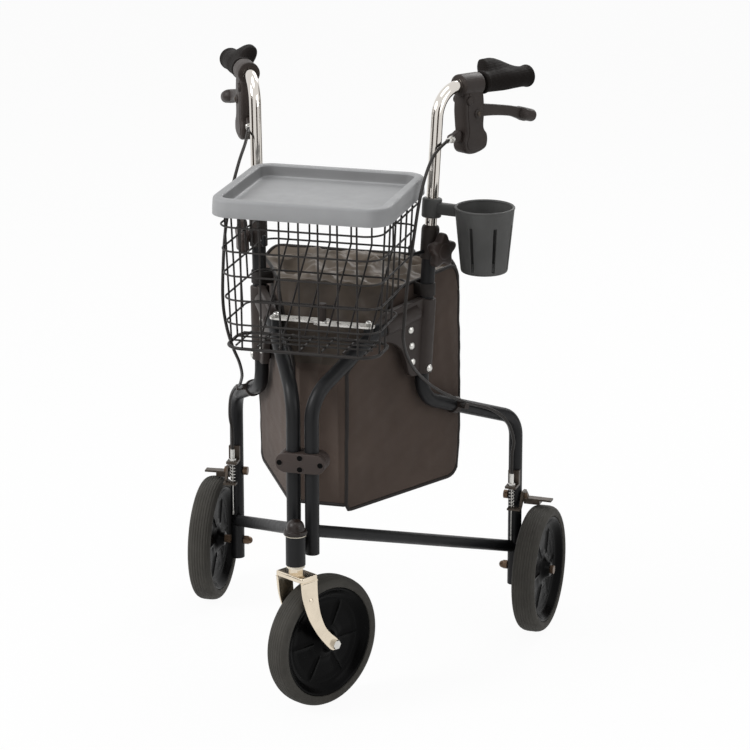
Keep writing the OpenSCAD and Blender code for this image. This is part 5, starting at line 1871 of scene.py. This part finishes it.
@dataclass
class CupHolder:
    """Slotted cup on an arm that clamps the right handle tube."""

    out: float = 86.0
    back: float = 27.0
    top: float = 745.0
    height: float = 102.0
    rim_r: float = 46.0
    foot_r: float = 35.9
    wall: float = 3.0
    slots: int = 7
    slot_low: float = 5.0
    slot_high: float = 76.0
    soft_edge: float = 0.7
    columns: int = 98
    clamp_z: float = 718.0
    clamp_length: float = 30.0
    clamp_r: float = 15.3
    bore: float = 9.35
    screw_turn: float = 150.0

    def build(self) -> None:
        """Make the cup with its slots, the arm and the clamp.

        The wall widens evenly from the foot to the rim, and the slots are the cells that are left out.
        """
        hand = Hand.RIGHT
        centre_u = PLAN.upright_u(self.clamp_z) + self.back
        low = self.top - self.height
        angle = full_turn(self.columns)
        levels = np.array([
            3.0, 5.0, 9.0, 13.0, 18.0, 30.0, 44.0, 58.0, 68.0, 76.0, 84.0, 92.0, 97.0, 100.0])
        outer = (self.foot_r + (self.rim_r - self.foot_r) * levels / self.height)[:, None]
        walls = [PLAN.side(hand, self.out + radius * np.cos(angle), centre_u + radius * np.sin(angle),
                           (low + levels)[:, None])
                 for radius in (outer - self.wall, outer)]
        step = self.columns // self.slots
        cell = np.arange(self.columns) % step
        open_column = (cell >= step // 2 - 1) & (cell < step // 2 + 1)
        open_row = (levels[:-1] >= self.slot_low) & (levels[1:] <= self.slot_high)
        shell = Shell("cup_shell").plate(*walls, ~(open_row[:, None] & open_column[None, :]))
        foot = self.foot_r
        base = np.array([
            (0.2, 0.0), (foot - 2.0, 0.0), (foot - 0.4, 1.0), (foot + 0.2, 3.2), (foot - 2.8, 3.4),
            (foot - 4.0, 3.0), (0.2, 3.0)])
        spot = PLAN.side(hand, self.out, centre_u, low)
        shell.add(revolve_grid(base, spot, UP, self.columns))
        lip = np.array([
            (42.2, 98.5), (46.1, 98.5), (46.6, 100.0), (46.0, 101.6), (44.4, 102.0), (43.0, 101.6),
            (42.2, 100.4)])
        shell.add(revolve_grid(lip, spot, UP, self.columns), ring=True)
        piece = shell.build(FINISH.cup, 35.0)
        soft = piece.modifiers.new("soft_edges", "BEVEL")
        soft.width = self.soft_edge * MM
        soft.segments = 2
        soft.limit_method = "ANGLE"
        settle(piece, "right_handle", "cup_plastic", "cup_holder")
        self._clamp(hand)

    def _clamp(self, hand: Hand) -> None:
        """Mould the clamp round the tube, its arm to the cup and its thumb screw.

        Args:
            hand: The side.
        """
        foot, axis = PLAN.upright(hand, self.clamp_z)
        section = sleeve_profile(self.clamp_length, self.clamp_r, self.bore, 2.6)
        shell = Shell("cup_clamp").add(revolve_grid(section, foot, axis, 48), ring=True)
        bearing = math.degrees(math.atan2(self.back, self.out))
        reach = math.hypot(self.back, self.out) - self.rim_r + 3.5
        start_u = PLAN.upright_u(self.clamp_z)
        middle = self.clamp_z + self.clamp_length / 2

        def place(x: np.ndarray, y: np.ndarray, h: np.ndarray) -> np.ndarray:
            """Carry the arm's section from the tube to the cup."""
            o, u = turned(h, x, bearing)
            return PLAN.side(hand, o, start_u + u, middle + y)

        shell.add(slab_grid(rounded_outline(16.0, 18.0, 5.0, 8), 9.6, reach, 0.4, place, 2))
        tip = PLAN.side(hand, *turned(1.0, 0.0, self.screw_turn), 0.0) - PLAN.side(hand, 0.0, 0.0, 0.0)
        spot, _ = PLAN.upright(hand, middle)
        screw = np.array([
            (0.2, 14.0), (5.0, 14.0), (5.0, 17.0), (6.6, 17.6), (7.0, 18.6), (7.0, 24.6), (6.2, 25.8),
            (0.2, 26.0)])
        shell.add(revolve_grid(screw, spot, tip, 32))
        settle(shell.build(FINISH.cup, 35.0), "right_handle", "cup_plastic")


def main() -> None:
    """Build every class in order."""
    logging.basicConfig(level=logging.INFO, format="%(message)s")
    Studio().build()
    CadFinishes().dress()
    for hand in Hand:
        Cables().build(hand)
        Handles().build(hand)
        Knobs().build(hand)
        Joinery().build(hand)
    Joinery().hinge()
    Caster().build()
    CupHolder().build()
    Wheels().build()
    Bag().build()
    Tray().build()


if __name__ == "__main__":
    main()
